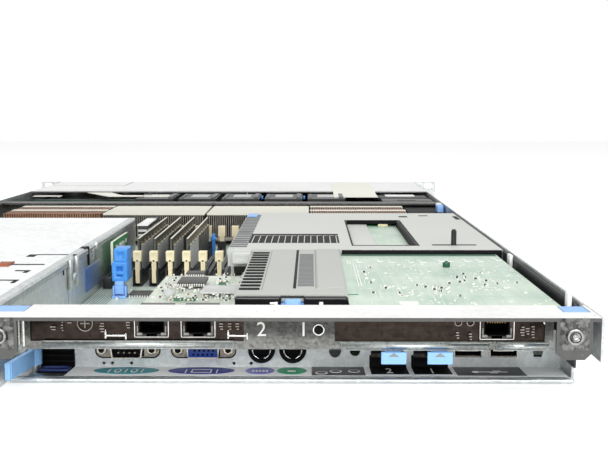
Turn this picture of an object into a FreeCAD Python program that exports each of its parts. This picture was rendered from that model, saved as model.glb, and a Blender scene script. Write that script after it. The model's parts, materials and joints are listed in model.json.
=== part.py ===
import FreeCAD, Part
import os
import re
import Sketcher

# One-unit rack server with its lid off.
# X runs across it (to the right seen from the rear), Y from rear to front, Z up.
# The origin is under the middle of its outline, on the surface that it stands on.

doc = FreeCAD.newDocument("rack_server")
sheet = doc.addObject("Spreadsheet::Sheet", "sizes")

SIZES = [
    # Case
    ("rear_y", -382.7), ("body_width", 430.0), ("wall_height", 41.0), ("plate_thick", 1.2),
    ("io_width", 272.0), ("apron_setback", 44.0), ("overhang_height", 21.5), ("hem_thick", 1.2),
    ("hem_depth", 5.0), ("standoff_height", 4.0), ("standoff_radius", 2.6), ("standoff_inset", 9.0),
    ("board_thick", 1.6),
    ("slide_clear", 0.5), ("turn_clear", 0.4), ("pin_clear", 0.3),
    # Rack ears and front
    ("ear_reach", 17.55), ("ear_margin", 8.75), ("unit_pitch", 31.75), ("ear_hole_radius", 3.4),
    ("ear_slot_half", 1.6), ("panel_thick", 2.0), ("drive_inset", 8.0), ("drive_width", 107.0),
    ("drive_height", 27.0), ("drive_length", 138.0), ("drive_space", 4.0), ("drive_gap", 1.8),
    ("optical_width", 128.0), ("optical_height", 12.7), ("optical_space", 8.0), ("power_inset", 35.0),
    ("power_radius", 5.0), ("power_height", 26.0), ("vent_width", 9.0), ("vent_height", 3.4),
    ("vent_pitch", 31.0), ("vent_rise", 33.0), ("handle_thick", 3.0), ("handle_height", 14.0),
    ("handle_inset", 5.0), ("handle_stand", 1.3), ("handle_rise", 7.0), ("handle_slot", 6.0),
    ("lug_thick", 2.6), ("hinge_radius", 2.2), ("hinge_pin", 1.0), ("face_proud", 0.4),
    ("button_travel", 1.2), ("collar_step", 1.2),
    # Rear overhang
    ("hood_depth", 27.0), ("hood_lip", 1.6), ("tab_drop", 17.2), ("tab_width", 15.5),
    ("tab_inset", 3.8), ("flap_slot", 15.0), ("flap_right", 12.0), ("tab_corner", 3.0), ("flap_inset", 1.4),
    ("flap_start", 12.0),
    ("flap_hinge", 24.5), ("flap_thick", 1.5), ("flap_drop", 3.2), ("screw_radius", 3.6),
    ("screw_head", 2.0), ("screw_shank", 1.8), ("screw_rise", 33.0), ("screw_length", 5.0),
    ("bracket_setback", 30.0), ("bracket_thick", 0.9), ("frame_inset_left", 12.0),
    ("frame_inset_right", 14.0), ("frame_bottom", 19.4), ("frame_bar", 3.8), ("frame_head", 1.6),
    ("frame_side", 4.0), ("shelf_rise", 20.6), ("centre_left", 47.0), ("centre_right", 5.0),
    ("ring_inset", 12.4), ("ring_rise", 28.8), ("ring_radius", 2.6), ("ring_hole", 1.65),
    ("ring_proud", 0.8), ("jack_width", 16.3), ("jack_height", 12.6), ("jack_length", 21.0),
    ("jack_mouth", 11.9), ("jack_mouth_height", 8.0), ("jack_mouth_depth", 14.0), ("jack_lip", 2.2),
    ("jack_proud", 0.6), ("jack_play", 0.2), ("clip_width", 5.0), ("clip_height", 1.4),
    ("card_jack_inset", 89.8), ("card_jack_pitch", 21.6), ("right_jack_inset", 40.0),
    # Lower rear panel
    ("io_setback", 64.0), ("io_inset", 32.0), ("serial_inset", 54.4), ("dsub_pitch", 38.0),
    ("dsub_wide", 17.0), ("dsub_narrow", 14.6), ("dsub_height", 8.6), ("dsub_wall", 0.6),
    ("dsub_depth", 5.6), ("dsub_flange", 30.8), ("dsub_flange_height", 12.4), ("dsub_rise", 4.2),
    ("nut_span", 25.0), ("nut_radius", 2.5), ("nut_length", 4.6), ("port_body", 11.0),
    ("round_step", 29.0), ("round_pitch", 15.6), ("round_radius", 7.0), ("round_proud", 1.4),
    ("round_rise", 4.0), ("ident_step", 21.1), ("ident_radius", 3.0), ("ident_rise", 2.9),
    ("lamp_step", 10.0),
    ("lamp_radius", 2.6), ("lan_step", 16.1), ("lan_pitch", 21.3), ("usb_step", 19.0),
    ("usb_pitch", 17.7), ("usb_width", 14.4), ("usb_height", 7.0), ("usb_length", 17.0),
    ("usb_wall", 0.7), ("usb_tongue", 1.9), ("drill_radius", 0.9), ("drill_rise", 3.4),
    ("drill_first", 10.2), ("drill_pitch", 4.3), ("drill_second", 24.1), ("drill_third", 75.5),
    ("notch_width", 4.0), ("notch_height", 8.0),
    # Release tabs and lever
    ("tab_face_width", 11.4), ("tab_face_height", 5.4), ("tab_face_thick", 2.0), ("tab_stand", 1.4),
    ("tab_arm_width", 7.0), ("tab_arm_thick", 1.4), ("tab_arm_drop", 2.6), ("tab_pivot", 53.0),
    ("tab_barrel", 2.0), ("tab_pin", 0.9), ("lever_inset", 10.0), ("lever_pivot", 56.5),
    ("lever_reach", 29.0), ("lever_lean", 4.5), ("lever_thick", 2.4), ("lever_rise", 5.0),
    ("lever_height", 8.0), ("lever_barrel", 3.4), ("lever_post", 1.8), ("lever_rib", 0.5),
    # Riser and cards
    ("riser_inset", 110.0), ("riser_start", 56.0), ("riser_length", 149.0), ("riser_end_gap", 6.0),
    ("slot_width", 7.0), ("slot_height", 8.2), ("slot_length", 92.0), ("slot_bed", 1.5),
    ("left_card_rise", 22.6), ("left_card_width", 108.0), ("card_end_gap", 8.0),
    ("right_card_drop", 5.0), ("right_card_gap", 8.0), ("right_card_end", 5.0), ("chip_height", 2.0),
    ("chip_grid", 10.0),
    ("cover_drop", 1.0), ("cover_thick", 2.0), ("cover_left", 53.0), ("cover_right", 2.0),
    ("cover_rail", 6.0), ("cover_rail_height", 6.6), ("cover_skirt", 1.6), ("cover_skirt_gap", 2.2),
    ("louvre_inset", 1.8), ("louvre_length", 8.6), ("louvre_width", 3.6), ("louvre_start", 12.0),
    ("louvre_pitch", 9.2), ("groove_inset", 25.0), ("groove_width", 1.4), ("groove_start", 16.0),
    ("panel_relief", 0.5), ("panel_inset", 12.4), ("push_width", 11.2), ("push_height", 3.0),
    ("push_proud", 2.0), ("push_length", 9.0), ("push_rim", 1.4),
    # Air shroud
    ("shroud_gap", 0.6), ("shroud_length", 214.0), ("shroud_side_gap", 7.0), ("shroud_wall", 2.0),
    ("shroud_lip", 9.0), ("shroud_wall_gap", 1.5), ("window_right", 55.0), ("window_width", 43.0),
    ("window_start", 19.0), ("window_length", 140.0), ("row_right", 168.0), ("row_start", 30.0),
    ("row_length", 46.0), ("row_slot", 3.0), ("row_pitch", 4.45), ("rib_length", 8.5),
    ("rib_width", 4.0), ("rib_pitch", 12.0), ("rib_start", 24.0), ("rib_depth", 0.9),
    ("post_right", 31.0), ("post_start", 21.0), ("post_radius", 1.8), ("post_height", 13.1),
    ("post_tip", 1.0),
    ("post_slot", 5.0), ("post_drop", 2.6), ("post_reach", 14.4), ("mezz_rise", 24.0),
    ("mezz_margin", 6.0), ("mezz_post", 2.2),
    # Memory
    ("dimm_inset", 25.0), ("dimm_pitch", 11.43), ("dimm_start", 259.5), ("dimm_length", 133.35),
    ("dimm_thick", 1.27), ("dimm_height", 30.5), ("dimm_seat", 2.2), ("socket_half", 3.2),
    ("socket_height", 6.7), ("tower_height", 12.0), ("tower_length", 8.0), ("tower_back", 0.9),
    ("latch_stem", 3.6), ("latch_head", 5.8), ("latch_back", 2.4), ("latch_thick", 4.0),
    ("latch_floor", 2.0), ("latch_height", 24.7), ("latch_shoulder", 16.0), ("latch_axis", 4.0),
    ("latch_axis_back", 4.0), ("latch_pin", 0.7), ("latch_eye", 0.8), ("latch_eye_rise", 20.0),
    ("chip_width", 10.5), ("chip_tall", 12.5), ("chip_thick", 1.0), ("chip_first", 6.0),
    ("chip_pitch", 13.9), ("chip_rise", 12.5),
    # Daughter card, retainer and regulator
    ("daughter_inset", 5.0), ("daughter_start", 245.0), ("daughter_length", 85.0),
    ("daughter_height", 30.0), ("daughter_socket", 6.0), ("daughter_margin", 2.0),
    ("retainer_inset", 20.5), ("retainer_start", 215.0), ("retainer_width", 6.4),
    ("retainer_thick", 7.0), ("retainer_height", 24.0), ("retainer_head", 8.0),
    ("retainer_reach", 15.0), ("retainer_axis", 5.0), ("retainer_barrel", 2.6),
    ("retainer_cheek", 1.2), ("retainer_base", 1.4), ("regulator_inset", 10.5), ("regulator_width", 8.0),
    ("regulator_start", 336.0), ("regulator_length", 54.0), ("regulator_height", 33.0),
    ("regulator_slot", 2.2), ("regulator_pitch", 4.4), ("regulator_depth", 5.0),
    # Heat sinks
    ("sink_gap", 32.0), ("sink_length", 68.0), ("sink_middle", -6.0), ("sink_split", 2.0),
    ("sink_joint", 1.0), ("plate_sink_width", 92.0), ("copper_width", 89.0), ("sink_base", 3.2),
    ("sink_top", 36.0), ("sink_lid", 1.6), ("fin_thick", 0.8),
    ("processor_size", 42.0), ("processor_height", 4.2),
    # Fans and rail
    ("rail_gap", 5.0), ("rail_depth", 18.0), ("rail_thick", 1.5), ("rail_drop", 3.0),
    ("fan_gap", 15.0), ("fan_depth", 56.0), ("fan_size", 38.0), ("fan_first", -70.0),
    ("fan_pitch", 43.7), ("fan_wall", 1.6), ("fan_boss", 7.0), ("fan_boss_length", 8.0),
    ("fan_strut", 2.4), ("fan_strut_depth", 4.0), ("rotor_hub", 7.6), ("rotor_length", 16.0),
    ("tip_clear", 0.8), ("blade_thick", 1.2), ("blade_lean", 7.0), ("rail_mouth", 33.0),
    ("rail_mouth_rise", 4.0), ("backplane_gap", 7.0), ("backplane_height", 31.0),
    ("backplane_margin", 3.0), ("plug_depth", 1.2), ("plug_width", 60.0), ("plug_height", 8.0),
    # Power bay
    ("cage_start", 3.0), ("cage_length", 382.0), ("cage_drop", 1.0), ("cage_slit", 1.6),
    ("cage_slit_start", 181.0), ("cage_slit_reach", 38.0), ("cage_tongue", 20.0), ("cage_tongue_rise", 9.0),
    ("supply_setback", 20.0), ("supply_length", 330.0), ("supply_handle", 44.0),
    ("supply_handle_bar", 5.0), ("supply_handle_reach", 15.0), ("supply_handle_rise", 29.0),
    ("inlet_width", 25.0), ("inlet_height", 17.0), ("inlet_depth", 15.0), ("inlet_inset", 6.0),
    ("inlet_rise", 6.0), ("inlet_blade", 2.0), ("inlet_blade_height", 4.0), ("inlet_blade_pitch", 7.0),
    ("grille_radius", 13.0), ("grille_inset", 20.0), ("grille_depth", 4.0), ("grille_bar", 2.0),
    # Flat cables
    ("ribbon_inset", 57.0), ("ribbon_width", 45.0), ("ribbon_thick", 0.8), ("ribbon_rear", 50.0),
    ("ribbon_front", 110.0), ("ribbon_bow", 2.2), ("tape_width", 16.0),
    ("tape_thick", 0.6), ("tape_inset", 62.0), ("tape_reach", 58.0), ("tape_rear", 22.0),
    ("tape_front", 20.0),
]

NAMES = set()
for number, (name, size) in enumerate(SIZES, start=1):
    cell = "A%d" % number
    sheet.set(cell, str(size))
    sheet.setAlias(cell, name)
    NAMES.add(name)
doc.recompute()

PIECES = []
ACROSS = {
    "x": FreeCAD.Rotation(FreeCAD.Vector(0, 1, 0), 90),
    "y": FreeCAD.Rotation(FreeCAD.Vector(1, 0, 0), -90),
    "z": FreeCAD.Rotation(),
}


def bind(text):
    """Write each named size in an expression as a cell of the sheet."""
    return re.sub(r"[a-z][a-z_]*", lambda word: "sizes." + word.group(0), text)


def locate(item, x, y, z):
    for axis, text in (("x", x), ("y", y), ("z", z)):
        item.setExpression("Placement.Base." + axis, bind(text))


def block(x0, x1, y0, y1, z0, z1):
    """Straight block between two corners."""
    item = doc.addObject("Part::Box", "block")
    item.setExpression("Length", bind("(%s)-(%s)" % (x1, x0)))
    item.setExpression("Width", bind("(%s)-(%s)" % (y1, y0)))
    item.setExpression("Height", bind("(%s)-(%s)" % (z1, z0)))
    locate(item, x0, y0, z0)
    return item


def rod(axis, x, y, z, radius, length):
    """Round bar along one axis, from its start."""
    item = doc.addObject("Part::Cylinder", "rod")
    item.Placement = FreeCAD.Placement(FreeCAD.Vector(), ACROSS[axis])
    item.setExpression("Radius", bind(radius))
    item.setExpression("Height", bind(length))
    locate(item, x, y, z)
    return item


def prism(sides, axis, x, y, z, radius, length):
    """Bar with flat sides along one axis, from its start."""
    item = doc.addObject("Part::Prism", "prism")
    item.Polygon = sides
    item.Placement = FreeCAD.Placement(FreeCAD.Vector(), ACROSS[axis])
    item.setExpression("Circumradius", bind(radius))
    item.setExpression("Height", bind(length))
    locate(item, x, y, z)
    return item


def join(*items):
    item = doc.addObject("Part::MultiFuse", "joined")
    item.Shapes = list(items)
    item.Refine = True
    return item


def group(*items):
    item = doc.addObject("Part::Compound", "group")
    item.Links = list(items)
    return item


def cut(base, *tools):
    item = doc.addObject("Part::Cut", "cut")
    item.Base = base
    item.Tool = tools[0] if len(tools) == 1 else group(*tools)
    return item


def piece(label, item):
    item.Label = label
    PIECES.append((label, item))


def rect(x0, x1, y0, y1):
    def draw(profile):
        first = profile.GeometryCount
        corners = [(1, 1), (2, 1), (2, 2), (1, 2)]
        for k in range(4):
            start = FreeCAD.Vector(*corners[k], 0)
            end = FreeCAD.Vector(*corners[(k + 1) % 4], 0)
            profile.addGeometry(Part.LineSegment(start, end), False)
        for k in range(4):
            profile.addConstraint(Sketcher.Constraint("Coincident", first + k, 2, first + (k + 1) % 4, 1))
        for k in range(4):
            profile.addConstraint(Sketcher.Constraint("Vertical" if k % 2 else "Horizontal", first + k))
        dimension(profile, "DistanceX", x0, 1, first, 1)
        dimension(profile, "DistanceY", y0, 1, first, 1)
        dimension(profile, "DistanceX", x1, 2, first + 2, 1)
        dimension(profile, "DistanceY", y1, 2, first + 2, 1)
    return draw


def disc(x, y, radius):
    def draw(profile):
        first = profile.GeometryCount
        profile.addGeometry(Part.Circle(FreeCAD.Vector(1, 1, 0), FreeCAD.Vector(0, 0, 1), 1), False)
        dimension(profile, "DistanceX", x, 1, first, 3)
        dimension(profile, "DistanceY", y, 1, first, 3)
        index = profile.addConstraint(Sketcher.Constraint("Radius", first, 1.0))
        profile.renameConstraint(index, "size_%d" % index)
        profile.setExpression("Constraints.size_%d" % index, bind(radius))
    return draw


def outline(*corners):
    def draw(profile):
        first = profile.GeometryCount
        count = len(corners)
        round_points = []
        for k in range(count):
            turn = FreeCAD.Rotation(FreeCAD.Vector(0, 0, 1), 360.0 * k / count)
            round_points.append(turn.multVec(FreeCAD.Vector(5, 0, 0)))
        for k in range(count):
            profile.addGeometry(Part.LineSegment(round_points[k], round_points[(k + 1) % count]), False)
        for k in range(count):
            profile.addConstraint(Sketcher.Constraint("Coincident", first + k, 2, first + (k + 1) % count,
                                                      1))
        for k, (x, y) in enumerate(corners):
            dimension(profile, "DistanceX", x, round_points[k].x, first + k, 1)
            dimension(profile, "DistanceY", y, round_points[k].y, first + k, 1)
    return draw


def ring(x, y, radius, sides):
    """Regular outline round a middle point."""
    corners = []
    for k in range(sides):
        spoke = FreeCAD.Rotation(FreeCAD.Vector(0, 0, 1), 360.0 * k / sides).multVec(FreeCAD.Vector(1, 0, 0))
        corners.append(("%s+(%s)*(%.5f)" % (x, radius, spoke.x), "%s+(%s)*(%.5f)" % (y, radius, spoke.y)))
    return outline(*corners)


def dimension(profile, kind, text, start, line, end):
    """Distance of a corner from the sketch's origin, tied to the sheet."""
    index = profile.addConstraint(Sketcher.Constraint(kind, -1, 1, line, end, float(start)))
    profile.renameConstraint(index, "size_%d" % index)
    profile.setExpression("Constraints.size_%d" % index, bind(text))


def body(label):
    item = doc.addObject("PartDesign::Body", label)
    item.Label = label
    return item


def origin_part(owner, role):
    for item in owner.Origin.OriginFeatures:
        if item.Role == role:
            return item


def sketch(owner, plane, offset, loops):
    profile = owner.newObject("Sketcher::SketchObject", "profile")
    profile.AttachmentSupport = [(origin_part(owner, plane + "_Plane"), "")]
    profile.MapMode = "FlatFace"
    sign = "-" if plane == "XZ" else ""
    profile.setExpression("AttachmentOffset.Base.z", bind("%s(%s)" % (sign, offset)))
    for draw in loops:
        draw(profile)
    return profile


def pad(owner, plane, offset, length, *loops):
    """Grow the profile towards +X, +Y or +Z."""
    profile = sketch(owner, plane, offset, loops)
    item = owner.newObject("PartDesign::Pad", "pad")
    item.Profile = profile
    item.setExpression("Length", bind(length))
    item.Reversed = plane == "XZ"
    owner.Tip = item
    return item


def pocket(owner, plane, offset, length, *loops):
    """Cut the profile away towards +X, +Y or +Z."""
    profile = sketch(owner, plane, offset, loops)
    item = owner.newObject("PartDesign::Pocket", "pocket")
    item.Profile = profile
    item.setExpression("Length", bind(length))
    item.Reversed = plane != "XZ"
    owner.Tip = item
    return item


def repeat(owner, feature, axis, length, count):
    item = owner.newObject("PartDesign::LinearPattern", "row")
    item.Originals = [feature]
    item.Direction = (origin_part(owner, axis + "_Axis"), [""])
    item.setExpression("Length", bind(length))
    item.Occurrences = count
    owner.Tip = item
    return item


def around(owner, feature, axis, count):
    item = owner.newObject("PartDesign::PolarPattern", "ring")
    item.Originals = [feature]
    item.Axis = (origin_part(owner, axis + "_Axis"), [""])
    item.Angle = 360
    item.Occurrences = count
    owner.Tip = item
    return item


def yr(text):
    """Place along the depth, counted from the hood's rear edge."""
    return "(rear_y+%s)" % text


# Reference planes: walls, face of the power bay, board, and the row of blocks from rear to front.
RIGHT = "(body_width/2)"
LEFT = "(-body_width/2)"
BAY = "(body_width/2-io_width)"
INNER_R = "(body_width/2-plate_thick)"
INNER_L = "(-body_width/2+plate_thick)"
BOARD = "(plate_thick+standoff_height+board_thick)"
TOP = "wall_height"
RISER = "(body_width/2-riser_inset)"
RISER_END = "(riser_start+riser_length)"
SHROUD = "(riser_start+riser_length+shroud_gap)"
SHROUD_END = "(%s+shroud_length)" % SHROUD
SINK = "(%s+sink_gap)" % SHROUD_END
SINK_END = "(%s+sink_length)" % SINK
RAIL = "(%s+rail_gap)" % SINK_END
RAIL_END = "(%s+rail_depth)" % RAIL
FAN = "(%s+fan_gap)" % RAIL_END
FAN_END = "(%s+fan_depth)" % FAN
PLANE = "(%s+backplane_gap)" % FAN_END
PLANE_END = "(%s+board_thick)" % PLANE
DRIVE = "(%s+drive_gap)" % PLANE_END
FRONT = "(%s+drive_length)" % DRIVE
CAGE_TOP = "(wall_height-cage_drop)"
COVER_TOP = "(wall_height-cover_drop)"
COVER_UNDER = "(wall_height-cover_drop-cover_thick)"
SERIAL = "(%s+serial_inset)" % BAY
VIDEO = "(%s+dsub_pitch)" % SERIAL
ROUND_A = "(%s+round_step)" % VIDEO
ROUND_B = "(%s+round_pitch)" % ROUND_A
IDENT = "(%s+ident_step)" % ROUND_B
LAMP = "(%s+lamp_step)" % IDENT
LAN_A = "(%s+lan_step)" % LAMP
LAN_B = "(%s+lan_pitch)" % LAN_A
USB_A = "(%s+usb_step)" % LAN_B
USB_B = "(%s+usb_pitch)" % USB_A
LEFT_CARD_TOP = "(left_card_rise+board_thick)"
RIGHT_CARD = "(wall_height-right_card_drop)"
DIMM_A = "(%s+dimm_inset)" % BAY
DIMM_END = "(dimm_start+dimm_length)"
BOARD_REAR = "(io_setback+4*plate_thick)"
LEVER_X = "(%s+lever_inset)" % BAY
SHROUD_L = "(%s+5*dimm_pitch+socket_half+shroud_side_gap)" % DIMM_A
SHROUD_R = "(%s-shroud_wall_gap)" % INNER_R

# Folded tray: floor, both side walls, the notch under the rear overhang, the hemmed edge of the
# rear floor and the post of the release lever; six-sided standoffs carry the board.
tray = body("chassis_tray")
pad(tray, "XZ", yr("0"), FRONT, outline(
    (LEFT, "0"), (RIGHT, "0"), (RIGHT, TOP), (INNER_R, TOP), (INNER_R, "plate_thick"),
    (INNER_L, "plate_thick"), (INNER_L, TOP), (LEFT, TOP)))
pocket(tray, "XZ", yr("0"), "apron_setback", rect(BAY, RIGHT + "+plate_thick", "-plate_thick",
                                                  "overhang_height"))
pad(tray, "XZ", yr("apron_setback"), "hem_depth", rect(BAY, INNER_R, "plate_thick", "plate_thick+hem_thick"))
spots = []
for x in (BAY + "+standoff_inset", RISER, INNER_R + "-standoff_inset"):
    for y in (yr(BOARD_REAR) + "+standoff_inset", yr(SHROUD) + "+standoff_inset",
              yr(SINK_END) + "-standoff_inset"):
        spots.append(prism(6, "z", x, y, "plate_thick", "standoff_radius", "standoff_height"))
for x in (INNER_L + "+2*standoff_inset", "sink_middle-plate_sink_width"):
    spots.append(prism(6, "z", x, yr(SINK_END) + "-standoff_inset", "plate_thick", "standoff_radius",
                       "standoff_height"))
pad(tray, "XY", "plate_thick", "lever_rise+lever_height", ring(LEVER_X, yr("lever_pivot"), "lever_post", 12))
piece("chassis_tray", tray)
piece("board_standoffs", group(*spots))

# Rack ears: plates beside the front ends of the walls, each with two slotted holes.
ears = []
for side in (1, -1):
    near, far = (RIGHT, RIGHT + "+ear_reach+ear_margin") if side > 0 else (LEFT + "-ear_reach-ear_margin",
            LEFT)
    plate = block(near, far, yr(FRONT) + "-panel_thick", yr(FRONT), "0", TOP)
    tools = []
    for level in ("(wall_height/2-unit_pitch/2)", "(wall_height/2+unit_pitch/2)"):
        middle = RIGHT + "+ear_reach" if side > 0 else LEFT + "-ear_reach"
        behind = yr(FRONT) + "-2*panel_thick"
        tools.append(join(
            rod("y", middle + "-ear_slot_half", behind, level, "ear_hole_radius", "3*panel_thick"),
            rod("y", middle + "+ear_slot_half", behind, level, "ear_hole_radius", "3*panel_thick"),
            block(middle + "-ear_slot_half", middle + "+ear_slot_half", behind, behind + "+3*panel_thick",
                  level + "-ear_hole_radius", level + "+ear_hole_radius")))
    ears.append(cut(plate, *tools))
piece("rack_ears", group(*ears))

# Fixed cover over the drive bay.
cover = body("front_top_cover")
pad(cover, "XY", TOP + "-plate_thick", "plate_thick",
    rect(INNER_L, INNER_R, yr(DRIVE), yr(FRONT) + "-panel_thick"))
piece("front_top_cover", cover)

# Front panel: drive bays, optical slot, button hole and a row of air slots.
DRIVE_X = ["(%s+drive_inset+%d*(drive_width+drive_space))" % (LEFT, k) for k in range(2)]
DRIVE_Z = "(plate_thick+slide_clear)"
OPTICAL_X = "(%s+drive_width+optical_space)" % DRIVE_X[1]
POWER_X = "(%s-power_inset)" % RIGHT
front = body("front_panel")
pad(front, "XZ", yr(FRONT) + "-panel_thick", "panel_thick",
    rect(INNER_L, INNER_R, "plate_thick", TOP + "-plate_thick"))
pocket(front, "XZ", yr(FRONT) + "-panel_thick", "panel_thick",
       rect(DRIVE_X[0] + "-slide_clear", DRIVE_X[0] + "+drive_width+slide_clear", "plate_thick-hem_thick",
            DRIVE_Z + "+drive_height+slide_clear"),
       rect(DRIVE_X[1] + "-slide_clear", DRIVE_X[1] + "+drive_width+slide_clear", "plate_thick-hem_thick",
            DRIVE_Z + "+drive_height+slide_clear"),
       rect(OPTICAL_X, OPTICAL_X + "+optical_width", "plate_thick-hem_thick", "plate_thick+optical_height"),
       ring(POWER_X, "power_height", "power_radius+turn_clear", 24))
vent = pocket(front, "XZ", yr(FRONT) + "-panel_thick", "panel_thick",
              rect(INNER_L + "+vent_width", INNER_L + "+2*vent_width", "vent_rise", "vent_rise+vent_height"))
repeat(front, vent, "X", "vent_pitch*12", 13)
piece("front_panel", front)

# Drive carriers slide in the front bays; each has a swinging handle on a pin between two lugs.
for k in range(2):
    x0 = DRIVE_X[k]
    x1 = "(%s+drive_width)" % x0
    face = yr(FRONT) + "+face_proud"
    axis_x = "(%s-handle_inset)" % x1
    axis_y = "(%s+handle_stand+handle_thick/2)" % face
    low = "(%s+handle_rise)" % DRIVE_Z
    high = "(%s+handle_height)" % low
    shell = body("carrier_%d_case" % (k + 1))
    pad(shell, "XY", DRIVE_Z, "drive_height", rect(x0, x1, yr(DRIVE), face))
    slot = pocket(shell, "XZ", face + "-handle_thick", "handle_thick",
                  rect(x0 + "+handle_inset", x0 + "+handle_inset+handle_slot", DRIVE_Z + "+handle_stand",
                       DRIVE_Z + "+handle_stand+handle_thick"))
    repeat(shell, slot, "X", "handle_slot*1.6*9", 10)
    lug_out = axis_y + "+hinge_radius"
    piece("drive_carrier_%d" % (k + 1), join(
        shell,
        block(axis_x + "-hinge_radius", axis_x + "+hinge_radius", face, lug_out,
              low + "-turn_clear-lug_thick", low + "-turn_clear"),
        block(axis_x + "-hinge_radius", axis_x + "+hinge_radius", face, lug_out,
              high + "+turn_clear", high + "+turn_clear+lug_thick"),
        prism(6, "z", axis_x, axis_y, low + "-turn_clear", "hinge_pin", "handle_height+2*turn_clear")))
    bar = body("handle_%d_bar" % (k + 1))
    pad(bar, "XY", low, "handle_height",
        rect(x0 + "+handle_inset", axis_x, axis_y + "-handle_thick/2", axis_y + "+handle_thick/2"))
    grip = pocket(bar, "XZ", axis_y + "-handle_thick", "2*handle_thick",
                  rect(x0 + "+3*handle_inset", x0 + "+3*handle_inset+handle_slot", low + "+handle_stand*2",
                       high + "-handle_stand*2"))
    repeat(bar, grip, "X", "handle_slot*1.6*6", 7)
    piece("drive_handle_%d" % (k + 1), cut(
        join(bar, prism(8, "z", axis_x, axis_y, low, "hinge_radius", "handle_height")),
        prism(8, "z", axis_x, axis_y, low, "hinge_pin+pin_clear", "handle_height")))

# Optical drive on the floor behind its slot, and the power button with its collar.
piece("optical_drive", join(
    block(OPTICAL_X, OPTICAL_X + "+optical_width", yr(DRIVE) + "+drive_inset", yr(FRONT) + "+face_proud",
          "plate_thick", "plate_thick+optical_height"),
    block(OPTICAL_X + "+optical_space", OPTICAL_X + "+optical_width-optical_space", yr(FRONT),
          yr(FRONT) + "+2*face_proud", "plate_thick+face_proud", "plate_thick+optical_height*0.6")))
piece("power_button", join(
    rod("y", POWER_X, yr(FRONT) + "-panel_thick-turn_clear", "power_height", "power_radius",
        "panel_thick+turn_clear+button_travel+face_proud"),
    prism(8, "y", POWER_X, yr(FRONT) + "-3*panel_thick", "power_height", "power_radius+2*collar_step",
          "2*panel_thick-turn_clear")))

# Drive backplane with a plug for each carrier.
plugs = []
for x0 in DRIVE_X:
    middle = "(%s+drive_width/2)" % x0
    plugs.append(block(middle + "-plug_width/2", middle + "+plug_width/2", yr(PLANE_END),
                       yr(PLANE_END) + "+plug_depth",
                       DRIVE_Z + "+plug_height", DRIVE_Z + "+2*plug_height"))
piece("drive_backplane", join(
    block(INNER_L + "+backplane_margin", DRIVE_X[1] + "+drive_width+backplane_margin", yr(PLANE),
          yr(PLANE_END),
          "plate_thick", "plate_thick+backplane_height"), *plugs))

# Fans: square housings with a round bore and a motor seat on three arms, and bladed rotors.
FAN_Z = "(plate_thick+fan_size/2)"
FAN_BORE = "(fan_size/2-fan_wall)"
BLADE_TIP = "((%s-tip_clear)^2-blade_lean^2)^0.5" % FAN_BORE
HUB_Y = "(%s+fan_boss_length)" % FAN
housings = []
for k in range(5):
    x = "(fan_first+%d*fan_pitch)" % k
    case = body("fan_%d_case" % (k + 1))
    pad(case, "XZ", yr(FAN), "fan_depth",
        rect(x + "-fan_size/2", x + "+fan_size/2", "plate_thick", "plate_thick+fan_size"),
        ring(x, FAN_Z, FAN_BORE, 24))
    half = "fan_strut/2"
    pad(case, "XZ", yr(FAN), "fan_strut_depth",
        rect(x + "-fan_size/2", x + "+fan_size/2", FAN_Z + "-" + half, FAN_Z + "+" + half))
    pad(case, "XZ", yr(FAN), "fan_strut_depth",
        rect(x + "-" + half, x + "+" + half, "plate_thick", "plate_thick+fan_size"))
    housings.append(join(case, prism(12, "y", x, yr(FAN), FAN_Z, "fan_boss", "fan_boss_length")))
    rotor = body("fan_rotor_%d" % (k + 1))
    pad(rotor, "XZ", "0", "rotor_length", ring("0", "0", "rotor_hub", 12))
    blade = pad(rotor, "YZ", "rotor_hub-blade_thick*2", BLADE_TIP + "-rotor_hub+blade_thick*2", outline(
        ("blade_thick", "-blade_lean"), ("2.4*blade_thick", "-blade_lean"),
        ("rotor_length-blade_thick", "blade_lean*0.5"), ("rotor_length-2.4*blade_thick", "blade_lean*0.5")))
    around(rotor, blade, "Y", 6)
    locate(rotor, x, yr(HUB_Y) + "+turn_clear", FAN_Z)
    piece("fan_rotor_%d" % (k + 1), rotor)
piece("fan_frames", group(*housings))

# Dark cross rail in front of the fans with one mouth for each.
rail = body("fan_rail")
pad(rail, "XZ", yr(RAIL_END) + "-rail_thick", "rail_thick",
    rect(INNER_L, INNER_R, "plate_thick", TOP + "-rail_drop"))
pad(rail, "XY", TOP + "-rail_drop-rail_thick", "rail_thick", rect(INNER_L, INNER_R, yr(RAIL), yr(RAIL_END)))
mouth = pocket(rail, "XZ", yr(RAIL_END) + "-rail_thick", "rail_thick",
               rect("fan_first-rail_mouth/2", "fan_first+rail_mouth/2", "plate_thick+rail_mouth_rise",
                    TOP + "-rail_drop-rail_mouth_rise"))
repeat(rail, mouth, "X", "4*fan_pitch", 5)
piece("fan_rail", rail)

# Main board: rear part beside the power bay, front part across the whole case.
main_board = body("motherboard")
pad(main_board, "XY", "plate_thick+standoff_height", "board_thick", outline(
    (BAY + "+shroud_gap", yr(BOARD_REAR)), (SHROUD_R, yr(BOARD_REAR)),
    (SHROUD_R, yr(SINK_END) + "+backplane_margin"),
    (INNER_L + "+optical_space", yr(SINK_END) + "+backplane_margin"),
    (INNER_L + "+optical_space", yr("cage_length") + "+optical_space"),
    (BAY + "+shroud_gap", yr("cage_length") + "+optical_space")))
piece("motherboard", main_board)

# Heat sinks: two under plain lids over the processors, two open copper ones outside them.
PLATE_L = "(sink_middle-sink_split/2-plate_sink_width)"
PLATE_R = "(sink_middle+sink_split/2)"
COPPER_L = "(%s-sink_joint-copper_width)" % PLATE_L
COPPER_R = "(%s+plate_sink_width+sink_joint)" % PLATE_R
FIN_GAPS = 15


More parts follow.
